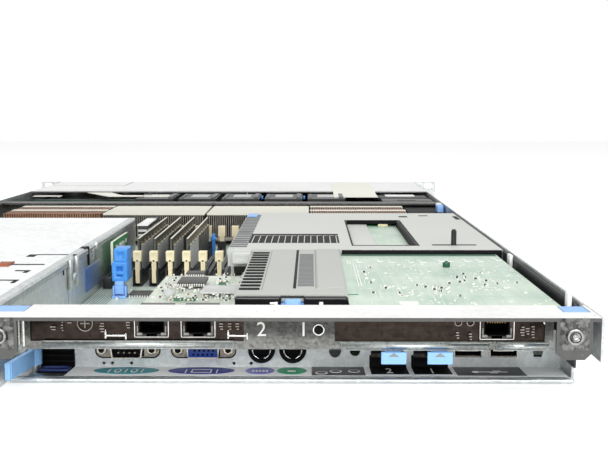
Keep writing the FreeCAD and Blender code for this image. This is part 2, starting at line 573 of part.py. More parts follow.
def fins(x0, width, low, high):
    """Upright sheets on a base, spread over its width."""
    sheets = []
    for k in range(FIN_GAPS + 1):
        x = "%s+%d*(%s-fin_thick)/%d" % (x0, k, width, FIN_GAPS)
        sheets.append(block(x, x + "+fin_thick", yr(SINK), yr(SINK_END), low, high))
    return sheets


chips, lidded, bare = [], [], []
for x0 in (PLATE_L, PLATE_R):
    middle = "(%s+plate_sink_width/2)" % x0
    depth = yr(SINK) + "+sink_length/2"
    chips.append(block(middle + "-processor_size/2", middle + "+processor_size/2",
                       depth + "-processor_size/2",
                       depth + "+processor_size/2", BOARD, BOARD + "+processor_height"))
    base = BOARD + "+processor_height"
    x1 = x0 + "+plate_sink_width"
    lidded.append(block(x0, x1, yr(SINK), yr(SINK_END), base, base + "+sink_base"))
    lidded.append(block(x0, x1, yr(SINK), yr(SINK_END), "sink_top-sink_lid", "sink_top"))
    lidded.extend(fins(x0, "plate_sink_width", base + "+sink_base", "sink_top-sink_lid"))
for x0 in (COPPER_L, COPPER_R):
    bare.append(block(x0, x0 + "+copper_width", yr(SINK), yr(SINK_END), BOARD, BOARD + "+sink_base"))
    bare.extend(fins(x0, "copper_width", BOARD + "+sink_base", "sink_top"))
piece("processors", group(*chips))
piece("plate_sinks", group(*lidded))
piece("copper_sinks", group(*bare))

# Memory: six sockets with a latch on a pin at each end, four modules seated in the first four.
LATCH_Z = "(%s+latch_axis)" % BOARD
sockets, modules, far_latches = [], [], []
for k in range(6):
    x = "(%s+%d*dimm_pitch)" % (DIMM_A, k)
    rear, ahead = yr("dimm_start"), yr(DIMM_END)
    solid = join(
        block(x + "-socket_half", x + "+socket_half", rear + "-tower_length", ahead + "+tower_length",
              BOARD, BOARD + "+socket_height"),
        block(x + "-socket_half", x + "+socket_half", rear + "-tower_length", rear + "+tower_back",
              BOARD, BOARD + "+tower_height"),
        block(x + "-socket_half", x + "+socket_half", ahead + "-tower_back", ahead + "+tower_length",
              BOARD, BOARD + "+tower_height"))
    room = "(latch_stem/2+turn_clear)"
    hollow = group(
        block(x + "-dimm_thick/2", x + "+dimm_thick/2", rear, ahead, BOARD + "+dimm_seat",
              BOARD + "+tower_height"),
        block(x + "-" + room, x + "+" + room, rear + "-tower_length", rear + "-tower_back",
              BOARD + "+latch_floor/3", BOARD + "+tower_height"),
        block(x + "-" + room, x + "+" + room, ahead + "+tower_back", ahead + "+tower_length",
              BOARD + "+latch_floor/3", BOARD + "+tower_height"))
    sockets.append(join(
        cut(solid, hollow),
        prism(6, "x", x + "-socket_half", rear + "-latch_axis_back", LATCH_Z, "latch_pin", "2*socket_half"),
        prism(6, "x", x + "-socket_half", ahead + "+latch_axis_back", LATCH_Z, "latch_pin",
              "2*socket_half")))
    for side in (-1, 1):
        end = rear if side < 0 else ahead
        sign = "-" if side < 0 else "+"
        sides = [end + sign + "(latch_back+latch_thick)", end + sign + "latch_back"]
        heads = [end + sign + "(latch_back+latch_thick+turn_clear)",
                 end + sign + "(latch_back-2*turn_clear)"]
        if side > 0:
            sides.reverse()
            heads.reverse()
        stem = block(x + "-latch_stem/2", x + "+latch_stem/2", sides[0], sides[1], BOARD + "+latch_floor",
                     BOARD + "+latch_shoulder")
        crown = block(x + "-latch_head/2", x + "+latch_head/2", heads[0], heads[1],
                      BOARD + "+latch_shoulder",
                      BOARD + "+latch_height")
        axis = prism(8, "x", x + "-latch_head", end + sign + "latch_axis_back", LATCH_Z,
                     "latch_pin+pin_clear", "2*latch_head")
        eye = prism(8, "y", x, heads[0], BOARD + "+latch_eye_rise", "latch_eye", "latch_thick/2")
        if side < 0:
            piece("dimm_latch_%d" % (k + 1), cut(join(stem, crown), axis, eye))
        else:
            far_latches.append(cut(join(stem, crown), axis))
    if k < 4:
        module = body("module_%d" % (k + 1))
        pad(module, "XY", BOARD + "+dimm_seat", "dimm_height",
            rect(x + "-dimm_thick/2", x + "+dimm_thick/2", rear, ahead))
        package = pad(module, "YZ", x + "+dimm_thick/2", "chip_thick", rect(
            rear + "+chip_first", rear + "+chip_first+chip_width", BOARD + "+dimm_seat+chip_rise",
            BOARD + "+dimm_seat+chip_rise+chip_tall"))
        repeat(module, package, "Y", "chip_pitch*8", 9)
        modules.append(module)
piece("dimm_sockets", group(*sockets))
piece("dimm_latches_far", group(*far_latches))
piece("memory_modules", group(*modules))

# Upright daughter card in its socket, with the base of the blue retainer.
card_x = "(%s+daughter_inset)" % BAY
y0, y1 = yr("daughter_start"), yr("(daughter_start+daughter_length)")
socket_x = "(%s+board_thick/2)" % card_x
holder = cut(
    block(socket_x + "-daughter_socket/2", socket_x + "+daughter_socket/2", y0 + "-daughter_margin",
          y1 + "+daughter_margin", BOARD, BOARD + "+socket_height"),
    block(card_x, card_x + "+board_thick", y0, y1, BOARD + "+dimm_seat", BOARD + "+socket_height"))
upright = block(card_x, card_x + "+board_thick", y0, y1, BOARD + "+dimm_seat",
                BOARD + "+dimm_seat+daughter_height")
keep_x = "(%s+retainer_inset)" % BAY
keep_y = yr("retainer_start")
keep_z = "(%s+retainer_axis)" % BOARD
cheek = "(retainer_width/2+turn_clear)"
foot = join(
    block(keep_x + "-" + cheek + "-retainer_cheek", keep_x + "+" + cheek + "+retainer_cheek",
          keep_y + "-retainer_thick", keep_y + "+retainer_thick", BOARD, BOARD + "+retainer_base"),
    block(keep_x + "-" + cheek + "-retainer_cheek", keep_x + "-" + cheek, keep_y + "-retainer_barrel",
          keep_y + "+retainer_barrel", BOARD, keep_z + "+retainer_barrel"),
    block(keep_x + "+" + cheek, keep_x + "+" + cheek + "+retainer_cheek", keep_y + "-retainer_barrel",
          keep_y + "+retainer_barrel", BOARD, keep_z + "+retainer_barrel"),
    prism(6, "x", keep_x + "-" + cheek, keep_y, keep_z, "hinge_pin", "2*" + cheek))
piece("daughter_card", group(holder, upright, foot))
arm = body("retainer_arm")
pad(arm, "YZ", keep_x + "-retainer_width/2", "retainer_width", outline(
    (keep_y + "-retainer_barrel", keep_z), (keep_y + "+retainer_barrel", keep_z),
    (keep_y + "+retainer_thick/2", BOARD + "+retainer_height"),
    (keep_y + "+retainer_reach", BOARD + "+retainer_height"),
    (keep_y + "+retainer_reach", BOARD + "+retainer_height+retainer_head"),
    (keep_y, BOARD + "+retainer_height+retainer_head"),
    (keep_y + "-retainer_thick/2", BOARD + "+retainer_height-retainer_head")))
piece("card_retainer", cut(
    join(arm, prism(12, "x", keep_x + "-retainer_width/2", keep_y, keep_z, "retainer_barrel",
                    "retainer_width")),
    prism(8, "x", keep_x + "-retainer_width", keep_y, keep_z, "hinge_pin+pin_clear", "2*retainer_width")))

# Regulator block with louvres in its rear end.
regulator = body("regulator_block")
reg_x = "(%s+regulator_inset)" % BAY
pad(regulator, "XY", BOARD, "regulator_height", rect(
    reg_x, reg_x + "+regulator_width", yr("regulator_start"), yr("(regulator_start+regulator_length)")))
louvre = pocket(regulator, "XZ", yr("regulator_start"), "regulator_depth", rect(
    reg_x + "+regulator_width/8", reg_x + "+regulator_width*7/8", BOARD + "+regulator_pitch",
    BOARD + "+regulator_pitch+regulator_slot"))
repeat(regulator, louvre, "Z", "regulator_pitch*5", 6)
piece("regulator_block", regulator)

# Power bay: divider, top and front wall of one folded sheet, with slits round a spring tongue.
cage = body("psu_cage")
pad(cage, "XZ", yr("cage_start"), "cage_length-cage_start", outline(
    (BAY, "plate_thick"), (BAY, CAGE_TOP), (INNER_L, CAGE_TOP), (INNER_L, CAGE_TOP + "-plate_thick"),
    (BAY + "-plate_thick", CAGE_TOP + "-plate_thick"), (BAY + "-plate_thick", "plate_thick")))
pad(cage, "XZ", yr("cage_length") + "-plate_thick", "plate_thick", rect(
    INNER_L, BAY + "-plate_thick", "plate_thick", CAGE_TOP + "-plate_thick"))
pocket(cage, "XY", CAGE_TOP + "-2*plate_thick", "3*plate_thick", rect(
    BAY + "-cage_slit_reach", BAY + "-2*plate_thick", yr("cage_slit_start"),
    yr("cage_slit_start") + "+cage_slit"))
pocket(cage, "YZ", BAY + "-2*plate_thick", "3*plate_thick",
       rect(yr("cage_slit_start"), yr("cage_slit_start") + "+cage_slit", "cage_tongue_rise",
            CAGE_TOP + "-2*plate_thick"),
       rect(yr("cage_slit_start") + "-cage_tongue", yr("cage_slit_start") + "-cage_tongue+cage_slit",
            "cage_tongue_rise", CAGE_TOP + "-2*plate_thick"))
piece("psu_cage", cage)

# Two power supplies slide in the bay; each has an inlet, a fan grille and a fixed pull handle.
SUPPLY_W = "((body_width-io_width-2*plate_thick-3*slide_clear)/2)"
SUPPLY_Z = "(plate_thick+slide_clear)"
SUPPLY_TOP = "(%s-plate_thick-slide_clear)" % CAGE_TOP
for k in range(2):
    x0 = "(%s+slide_clear+%d*(%s+slide_clear))" % (INNER_L, k, SUPPLY_W)
    x1 = "(%s+%s)" % (x0, SUPPLY_W)
    face = yr("supply_setback")
    case = body("supply_%d_case" % (k + 1))
    pad(case, "XY", SUPPLY_Z, SUPPLY_TOP + "-" + SUPPLY_Z, rect(x0, x1, face, face + "+supply_length"))
    inlet_x = "(%s+inlet_inset)" % x0
    inlet_z = "(%s+inlet_rise)" % SUPPLY_Z
    pocket(case, "XZ", face, "inlet_depth", rect(
        inlet_x, inlet_x + "+inlet_width", inlet_z, inlet_z + "+inlet_height"))
    pin_z = "(%s+inlet_height/2)" % inlet_z
    pin_x = "(%s+inlet_width/2)" % inlet_x
    blades = []
    for step in (-1, 0, 1):
        mid = "(%s+%d*inlet_blade_pitch)" % (pin_x, step)
        low = pin_z if step == 0 else "(%s-inlet_blade_height)" % pin_z
        blades.append(rect(mid + "-inlet_blade/2", mid + "+inlet_blade/2", low, low + "+inlet_blade_height"))
    pad(case, "XZ", face + "+inlet_depth*0.2", "inlet_depth*0.8", *blades)
    fan_x = "(%s-grille_inset)" % x1
    fan_z = "((%s+%s)/2-grille_bar)" % (SUPPLY_Z, SUPPLY_TOP)
    pocket(case, "XZ", face, "grille_depth", ring(fan_x, fan_z, "grille_radius", 24))
    pad(case, "XZ", face, "grille_bar",
        rect(fan_x + "-grille_radius", fan_x + "+grille_radius", fan_z + "-grille_bar/2",
             fan_z + "+grille_bar/2"))
    pad(case, "XZ", face, "grille_bar",
        rect(fan_x + "-grille_bar/2", fan_x + "+grille_bar/2", fan_z + "-grille_radius",
             fan_z + "+grille_radius"))
    middle = "((%s+%s)/2)" % (x0, x1)
    pad(case, "XY", "supply_handle_rise", "supply_handle_bar", outline(
        (middle + "-supply_handle/2", face), (middle + "-supply_handle/2", face + "-supply_handle_reach"),
        (middle + "+supply_handle/2", face + "-supply_handle_reach"), (middle + "+supply_handle/2", face),
        (middle + "+supply_handle/2-supply_handle_bar", face),
        (middle + "+supply_handle/2-supply_handle_bar", face + "-supply_handle_reach+supply_handle_bar"),
        (middle + "-supply_handle/2+supply_handle_bar", face + "-supply_handle_reach+supply_handle_bar"),
        (middle + "-supply_handle/2+supply_handle_bar", face)))
    piece("power_supply_%d" % (k + 1), case)

# Rear hood: top sheet with two notches for the flaps, turned-down lip, hanging tabs, lugs and pins.
NOTCH_R1 = "(%s-flap_inset)" % INNER_R
NOTCH_R0 = "(%s-flap_right)" % NOTCH_R1
NOTCH_L0 = "(%s+flap_inset+lug_thick)" % BAY
NOTCH_L1 = "(%s+flap_slot)" % NOTCH_L0
TAB_R = "(%s-tab_inset-tab_width)" % INNER_R
TAB_L = "(%s+tab_inset)" % BAY


def hanging(x0, x1, low):
    """Tab below the top sheet with clipped lower corners."""
    return outline((x0, TOP), (x0, low + "+tab_corner"), (x0 + "+tab_corner", low),
                   (x1 + "-tab_corner", low),
                   (x1, low + "+tab_corner"), (x1, TOP))


hood = body("hood_sheet")
pad(hood, "XY", TOP + "-plate_thick", "plate_thick", outline(
    (BAY, yr("0")), (INNER_R, yr("0")), (INNER_R, yr("hood_depth")), (NOTCH_R1, yr("hood_depth")),
    (NOTCH_R1, yr("flap_start")), (NOTCH_R0, yr("flap_start")), (NOTCH_R0, yr("hood_depth")),
    (NOTCH_L1, yr("hood_depth")), (NOTCH_L1, yr("flap_start")), (NOTCH_L0, yr("flap_start")),
    (NOTCH_L0, yr("hood_depth")), (BAY, yr("hood_depth"))))
pad(hood, "XZ", yr("0"), "plate_thick",
    rect(BAY, INNER_R, TOP + "-hood_lip", TOP))
pad(hood, "XZ", yr("0"), "plate_thick",
    hanging(TAB_R, TAB_R + "+tab_width", TOP + "-plate_thick-tab_drop"),
    hanging(TAB_L, TAB_L + "+tab_width", TOP + "-plate_thick-tab_drop"))
SCREWS = ["(%s+tab_width/2)" % TAB_L, "(%s+tab_width/2)" % TAB_R]
pocket(hood, "XZ", yr("0"), "plate_thick", *[ring(x, "screw_rise", "screw_shank+pin_clear",
                                                  12) for x in SCREWS])
FLAP_Z = "(wall_height-flap_drop)"
lugs = []
for n0, n1 in ((NOTCH_L0, NOTCH_L1), (NOTCH_R0, NOTCH_R1)):
    for edge0, edge1 in ((n0 + "-flap_inset", n0), (n1, n1 + "+flap_inset")):
        lugs.append(block(edge0, edge1, yr("flap_hinge") + "-hinge_radius",
                          yr("flap_hinge") + "+hinge_radius",
                          FLAP_Z + "-hinge_radius", TOP))
    lugs.append(prism(6, "x", n0, yr("flap_hinge"), FLAP_Z, "hinge_pin", n1 + "-" + n0))
piece("rear_hood", join(hood, *lugs))
for label, n0, n1 in (("card_latch_left", NOTCH_L0, NOTCH_L1), ("card_latch_right", NOTCH_R0, NOTCH_R1)):
    a, b = n0 + "+turn_clear", n1 + "-turn_clear"
    piece(label, cut(
        join(block(a, b, yr("flap_start") + "+turn_clear", yr("flap_hinge"), TOP + "-flap_thick", TOP),
             prism(8, "x", a, yr("flap_hinge"), FLAP_Z, "hinge_radius", "(%s)-(%s)" % (b, a))),
        prism(8, "x", n0, yr("flap_hinge"), FLAP_Z, "hinge_pin+pin_clear", n1 + "-" + n0)))
heads = []
for x in SCREWS:
    heads.append(join(prism(20, "y", x, yr("0") + "-screw_head", "screw_rise", "screw_radius", "screw_head"),
                      prism(8, "y", x, yr("0"), "screw_rise", "screw_shank", "screw_length")))
piece("hood_screws", group(*heads))

# Frame round the card slots, with the shelf under it, the threaded ring and the pivots of the tabs.
FRAME_L = "(%s+frame_inset_left)" % BAY
FRAME_R = "(%s-frame_inset_right)" % RIGHT
CENTRE_L = "(%s-centre_left)" % RISER
CENTRE_R = "(%s-centre_right)" % RISER
RING = "(%s-ring_inset)" % RISER
frame = body("slot_sheet")
pad(frame, "XZ", yr("bracket_setback"), "plate_thick", rect(FRAME_L, FRAME_R, "frame_bottom",
                                                            TOP + "-plate_thick"))
pad(frame, "XY", "shelf_rise", "plate_thick", rect(FRAME_L, FRAME_R, yr("bracket_setback"),
                                                   yr("io_setback") + "+plate_thick"))
pad(frame, "XZ", yr("bracket_setback") + "-ring_proud", "ring_proud",
    ring(RING, "ring_rise", "ring_radius", 12))
pocket(frame, "XZ", yr("bracket_setback") + "-ring_proud", "ring_proud+plate_thick",
       rect(FRAME_L + "+frame_side", CENTRE_L, "frame_bottom+frame_bar", TOP + "-plate_thick-frame_head"),
       rect(CENTRE_R, FRAME_R + "-frame_side", "frame_bottom+frame_bar", TOP + "-plate_thick-frame_head"),
       disc(RING, "ring_rise", "ring_hole"))
TAB_Y = yr("tab_pivot")
TAB_Z = "(shelf_rise-tab_arm_drop)"
pivots = []
for index, x in enumerate((LAN_A, LAN_B)):
    side = "(tab_arm_width/2+turn_clear)"
    for edge0, edge1 in ((x + "-" + side + "-plate_thick", x + "-" + side), (x + "+" + side,
            x + "+" + side + "+plate_thick")):
        pivots.append(block(edge0, edge1, TAB_Y + "-tab_barrel", TAB_Y + "+tab_barrel",
                            TAB_Z + "-tab_barrel", "shelf_rise"))
    pivots.append(prism(6, "x", x + "-" + side, TAB_Y, TAB_Z, "tab_pin", "2*" + side))
    face1 = yr("bracket_setback") + "-tab_stand"
    face0 = face1 + "-tab_face_thick"
    piece("jack_tab_%d" % (index + 1), cut(
        join(block(x + "-tab_face_width/2", x + "+tab_face_width/2", face0, face1,
                   TAB_Z + "+tab_arm_thick/2-tab_face_height", TAB_Z + "+tab_arm_thick/2"),
             block(x + "-tab_arm_width/2", x + "+tab_arm_width/2", face0, TAB_Y, TAB_Z + "-tab_arm_thick/2",
                   TAB_Z + "+tab_arm_thick/2"),
             prism(8, "x", x + "-tab_arm_width/2", TAB_Y, TAB_Z, "tab_barrel", "tab_arm_width")),
        prism(8, "x", x + "-tab_arm_width", TAB_Y, TAB_Z, "tab_pin+pin_clear", "2*tab_arm_width")))
piece("slot_frame", join(frame, *pivots))

# Card brackets behind the frame and the jacks that show through them and through the lower panel.
JACKS_L = ["(%s-card_jack_inset+%d*card_jack_pitch)" % (RISER, k) for k in range(2)]
JACK_R = "(%s-right_jack_inset)" % RIGHT
SHELF_TOP = "(shelf_rise+plate_thick)"
BRACKET = yr("bracket_setback") + "+plate_thick"
half = "(jack_width/2+jack_play)"
plate_l = body("left_bracket")
pad(plate_l, "XZ", BRACKET, "bracket_thick", rect(FRAME_L, CENTRE_L + "+frame_side", SHELF_TOP,
                                                  TOP + "-plate_thick"))
pocket(plate_l, "XZ", BRACKET, "bracket_thick", *[
    rect(x + "-" + half, x + "+" + half, LEFT_CARD_TOP + "-jack_play",
         LEFT_CARD_TOP + "+jack_height+jack_play")
    for x in JACKS_L])
plate_r = body("right_bracket")
pad(plate_r, "XZ", BRACKET, "bracket_thick", rect(CENTRE_R + "-frame_side", FRAME_R, SHELF_TOP,
                                                  TOP + "-plate_thick"))
pocket(plate_r, "XZ", BRACKET, "bracket_thick", rect(
    JACK_R + "-" + half, JACK_R + "+" + half, RIGHT_CARD + "-jack_height-jack_play",
    RIGHT_CARD + "+jack_play"))
piece("slot_brackets", group(plate_l, plate_r))


def jack(x, y, z):
    """Network jack, open towards the rear, with the notch for a plug's clip under its mouth."""
    solid = body("jack")
    pad(solid, "XZ", y, "jack_length", rect(x + "-jack_width/2", x + "+jack_width/2", z, z + "+jack_height"))
    pocket(solid, "XZ", y, "jack_mouth_depth",
           rect(x + "-jack_mouth/2", x + "+jack_mouth/2", z + "+jack_lip",
                z + "+jack_lip+jack_mouth_height"))
    pocket(solid, "XZ", y, "jack_mouth_depth",
           rect(x + "-clip_width/2", x + "+clip_width/2", z + "+jack_lip-clip_height", z + "+jack_lip"))
    return solid


CARD_JACK_Y = BRACKET + "-jack_proud"
PORT_Y = yr("io_setback") + "-jack_proud"
piece("network_jacks", group(
    jack(JACKS_L[0], CARD_JACK_Y, LEFT_CARD_TOP), jack(JACKS_L[1], CARD_JACK_Y, LEFT_CARD_TOP),
    jack(JACK_R, CARD_JACK_Y, "(%s-jack_height)" % RIGHT_CARD),
    jack(LAN_A, PORT_Y, BOARD), jack(LAN_B, PORT_Y, BOARD)))

# Riser board with a slot on each face, and the two cards in them.
RISER_L = "(%s-board_thick/2)" % RISER
RISER_R = "(%s+board_thick/2)" % RISER
SLOT_Y = yr("riser_start") + "+2*riser_end_gap"
CARD_Y = BRACKET + "+bracket_thick"
slots = [cut(
    block(RISER_L + "-slot_width", RISER_L, SLOT_Y, SLOT_Y + "+slot_length", "left_card_rise-slot_height/2",
          "left_card_rise+slot_height/2"),
    block(RISER_L + "-slot_width", RISER_L + "-slot_bed", SLOT_Y, SLOT_Y + "+slot_length", "left_card_rise",
          LEFT_CARD_TOP)), cut(
    block(RISER_R, RISER_R + "+slot_width", SLOT_Y, SLOT_Y + "+slot_length", RIGHT_CARD + "-slot_height/2",
          COVER_UNDER),
    block(RISER_R + "+slot_bed", RISER_R + "+slot_width", SLOT_Y, SLOT_Y + "+slot_length", RIGHT_CARD,
          RIGHT_CARD + "+board_thick"))]
piece("riser_board", group(
    block(RISER_L, RISER_R, yr("riser_start") + "+riser_end_gap+cover_rail",
          yr(RISER_END) + "-riser_end_gap", BOARD, COVER_UNDER),
    *slots))
left_card = body("left_card")
pad(left_card, "XY", "left_card_rise", "board_thick", rect(
    RISER + "-left_card_width", RISER_L + "-slot_bed", CARD_Y, yr(RISER_END) + "-card_end_gap"))


def chip(edge, sign, end, x0, x1, y0, y1):
    """Package on a card, in steps of the chip grid from the card's edge and end."""
    return rect("%s%s%s*chip_grid" % (edge, sign, x0), "%s%s%s*chip_grid" % (edge, sign, x1),
                "%s%s*chip_grid" % (end, y0), "%s%s*chip_grid" % (end, y1))


CARD_EDGE = "(%s-left_card_width)" % RISER
CARD_END = yr(RISER_END)
pad(left_card, "XY", LEFT_CARD_TOP, "chip_height",
    chip(CARD_EDGE, "+", CARD_END, 1.7, 2.7, "-3.6", "-2.9"),
    chip(CARD_EDGE, "+", CARD_END, 3.1, 4.9, "-6.6", "-5.3"),
    chip(CARD_EDGE, "+", CARD_END, 1.6, 2.8, "-8.8", "-7.6"),
    chip(CARD_EDGE, "+", CARD_END, 3.6, 4.2, "-4.0", "-3.4"))
piece("left_card", left_card)
right_card = body("right_card")
pad(right_card, "XY", RIGHT_CARD, "board_thick", rect(
    RISER_R + "+slot_bed", RIGHT + "-right_card_gap", CARD_Y, yr(SHROUD) + "-right_card_end"))
pad(right_card, "XY", RIGHT_CARD + "-chip_height", "chip_height",
    chip(RISER_R, "+", yr("riser_start"), 3.0, 5.2, "+6.0", "+8.2"),
    chip(RISER_R, "+", yr("riser_start"), 6.2, 7.6, "+3.0", "+4.4"))
piece("right_card", right_card)

# Grey riser cover: top plate with louvres and a long groove, a front rail and a side skirt.
cover_l, cover_r = RISER + "-cover_left", RISER + "+cover_right"
lid = body("riser_cover")
pad(lid, "XY", COVER_UNDER, "cover_thick", rect(cover_l, cover_r, yr("riser_start"), yr(RISER_END)))
pad(lid, "XZ", yr("riser_start"), "cover_rail", rect(cover_l, cover_r, COVER_UNDER + "-cover_rail_height",
                                                     COVER_UNDER))
pad(lid, "YZ", cover_l, "cover_skirt", rect(
    yr("riser_start"), yr(RISER_END), LEFT_CARD_TOP + "+chip_height+cover_skirt_gap", COVER_UNDER))
pad(lid, "XY", COVER_TOP, "panel_relief", rect(
    RISER + "-panel_inset", cover_r + "-panel_relief", yr("riser_start") + "+groove_start",
    yr(RISER_END) + "-panel_relief"))
pocket(lid, "XY", COVER_UNDER, "cover_thick", rect(
    RISER + "-groove_inset", RISER + "-groove_inset+groove_width", yr("riser_start") + "+groove_start",
    yr(RISER_END) + "-cover_thick"))
PUSH_X = "(%s-groove_inset)" % RISER
PUSH_Z = "(%s-cover_rail_height/2)" % COVER_UNDER
pocket(lid, "XZ", yr("riser_start"), "cover_rail", rect(
    PUSH_X + "-push_width/2-turn_clear", PUSH_X + "+push_width/2+turn_clear",
    PUSH_Z + "-push_height/2-turn_clear", PUSH_Z + "+push_height/2+turn_clear"))
opening = pocket(lid, "XY", COVER_UNDER, "cover_thick", rect(
    cover_l + "+louvre_inset", cover_l + "+louvre_inset+louvre_length", yr("riser_start") + "+louvre_start",
    yr("riser_start") + "+louvre_start+louvre_width"))
repeat(lid, opening, "Y", "louvre_pitch*13", 14)
piece("riser_cover", lid)
piece("riser_button", join(
    block(PUSH_X + "-push_width/2", PUSH_X + "+push_width/2", yr("riser_start") + "-push_proud",
          yr("riser_start") + "-push_proud+push_length", PUSH_Z + "-push_height/2",
          PUSH_Z + "+push_height/2"),
    block(PUSH_X + "-push_width/2-push_rim", PUSH_X + "+push_width/2+push_rim",
          yr("riser_start") + "+cover_rail+turn_clear",
          yr("riser_start") + "+cover_rail+turn_clear+push_rim",
          PUSH_Z + "-push_height/2", PUSH_Z + "+push_height/2")))

# Air shroud: top with window, slot row and shallow ribs, side walls on the board, rear lip,
# and the cheeks and pin of the folding post.
duct = body("shroud_shell")
pad(duct, "XY", COVER_UNDER, "cover_thick", rect(SHROUD_L, SHROUD_R, yr(SHROUD), yr(SHROUD_END)))
pad(duct, "YZ", SHROUD_R + "-shroud_wall", "shroud_wall",
    rect(yr(SHROUD), yr(SHROUD_END), BOARD, COVER_UNDER))
pad(duct, "YZ", SHROUD_L, "shroud_wall", rect(yr(SHROUD) + "+rib_start", yr(SHROUD_END), BOARD, COVER_UNDER))
pad(duct, "XZ", yr(SHROUD), "shroud_wall", rect(SHROUD_L, SHROUD_R, COVER_UNDER + "-shroud_lip",
                                                COVER_UNDER))
WINDOW_L = "(%s-window_right-window_width)" % RIGHT
pocket(duct, "XY", COVER_UNDER, "cover_thick", rect(
    WINDOW_L, WINDOW_L + "+window_width", yr(SHROUD) + "+window_start",
    yr(SHROUD) + "+window_start+window_length"))
POST_X = "(%s-post_right)" % RIGHT
POST_Y = yr(SHROUD) + "+post_start"
POST_Z = "(%s-post_drop)" % COVER_TOP
pocket(duct, "XY", COVER_UNDER, "cover_thick", rect(
    POST_X + "-post_reach", POST_X + "+post_slot/2+turn_clear", POST_Y + "-post_slot/2",
    POST_Y + "+post_slot/2"))
gill = pocket(duct, "XY", COVER_UNDER, "cover_thick", rect(
    RIGHT + "-row_right", RIGHT + "-row_right+row_slot", yr(SHROUD) + "+row_start",
    yr(SHROUD) + "+row_start+row_length"))
repeat(duct, gill, "X", "row_pitch*13", 14)
rib = pocket(duct, "XY", COVER_TOP + "-rib_depth", "rib_depth", rect(
    SHROUD_L + "+shroud_wall/2", SHROUD_L + "+shroud_wall/2+rib_length", yr(SHROUD) + "+rib_start",
    yr(SHROUD) + "+rib_start+rib_width"))
repeat(duct, rib, "Y", "rib_pitch*8", 9)
cheeks = []
for edge0, edge1 in ((POST_Y + "-post_slot/2-cover_thick", POST_Y + "-post_slot/2"),
                     (POST_Y + "+post_slot/2", POST_Y + "+post_slot/2+cover_thick")):
    cheeks.append(block(POST_X + "-hinge_radius", POST_X + "+hinge_radius", edge0, edge1,
                        POST_Z + "-hinge_radius", COVER_UNDER))
piece("air_shroud", join(duct, *cheeks, prism(6, "y", POST_X, POST_Y + "-post_slot/2", POST_Z, "hinge_pin",
                                              "post_slot")))
piece("fold_post", cut(
    join(prism(12, "z", POST_X, POST_Y, POST_Z, "post_radius", "post_height-post_tip"),
         prism(12, "z", POST_X, POST_Y, POST_Z, "post_radius-post_tip/2", "post_height"),
         prism(8, "y", POST_X, POST_Y + "-post_slot/2+turn_clear", POST_Z, "hinge_radius",
               "post_slot-2*turn_clear")),
    prism(8, "y", POST_X, POST_Y + "-post_slot", POST_Z, "hinge_pin+pin_clear", "2*post_slot")))

# Card under the shroud's window, on four posts.
mezz_x0, mezz_x1 = WINDOW_L + "-mezz_margin", WINDOW_L + "+window_width+mezz_margin"
mezz_y0 = yr(SHROUD) + "+window_start-mezz_margin"
mezz_y1 = yr(SHROUD) + "+window_start+window_length+mezz_margin"
legs = []
for x in (mezz_x0 + "+mezz_margin", mezz_x1 + "-mezz_margin"):
    for y in (mezz_y0 + "+mezz_margin", mezz_y1 + "-mezz_margin"):
        legs.append(prism(6, "z", x, y, BOARD, "mezz_post", "mezz_rise-" + BOARD))
piece("mezzanine_card", join(
    block(mezz_x0, mezz_x1, mezz_y0, mezz_y1, "mezz_rise", "mezz_rise+board_thick"), *legs))

# Lower rear panel with its cut-outs.
DSUB_Z = "(%s+dsub_rise)" % BOARD
ROUND_Z = "(%s+round_rise)" % BOARD
IDENT_Z = "(%s+ident_rise)" % BOARD
PANEL_L = "(%s+io_inset)" % BAY
panel = body("io_panel")
pad(panel, "XZ", yr("io_setback"), "plate_thick", rect(PANEL_L, INNER_R, "plate_thick", "shelf_rise"))
holes = []
for x in (SERIAL, VIDEO):
    holes.append(rect(x + "-dsub_wide/2-jack_play", x + "+dsub_wide/2+jack_play",
                      DSUB_Z + "-dsub_height/2-jack_play",
                      DSUB_Z + "+dsub_height/2+jack_play"))
    holes.append(ring(x + "-nut_span/2", DSUB_Z, "nut_radius", 6))
    holes.append(ring(x + "+nut_span/2", DSUB_Z, "nut_radius", 6))
for x in (ROUND_A, ROUND_B):
    holes.append(ring(x, ROUND_Z, "round_radius", 20))
for x in (LAN_A, LAN_B):
    holes.append(rect(x + "-" + half, x + "+" + half, BOARD + "-jack_play",
                      BOARD + "+jack_height+jack_play"))
for x in (USB_A, USB_B):
    holes.append(rect(x + "-usb_width/2-jack_play", x + "+usb_width/2+jack_play", BOARD + "-jack_play",
                      BOARD + "+usb_height+jack_play"))
holes.append(disc(IDENT, IDENT_Z, "ident_radius"))
holes.append(ring(LAMP, IDENT_Z, "lamp_radius", 12))
NOTCH = "(%s+usb_width/2+2*notch_width)" % USB_B
holes.append(outline((NOTCH, BOARD), (NOTCH + "+notch_width", BOARD),
                     (NOTCH + "+notch_width*1.4", BOARD + "+notch_height"),
                     (NOTCH + "-notch_width*0.4", BOARD + "+notch_height")))
pocket(panel, "XZ", yr("io_setback"), "plate_thick", *holes)
drills = []
for step in ("drill_first", "drill_first+drill_pitch", "drill_second", "drill_third",
             "drill_third+2*drill_pitch"):
    drills.append(ring(PANEL_L + "+" + step, "drill_rise", "drill_radius", 6))
pocket(panel, "XZ", yr("io_setback"), "plate_thick", *drills)
piece("io_panel", panel)

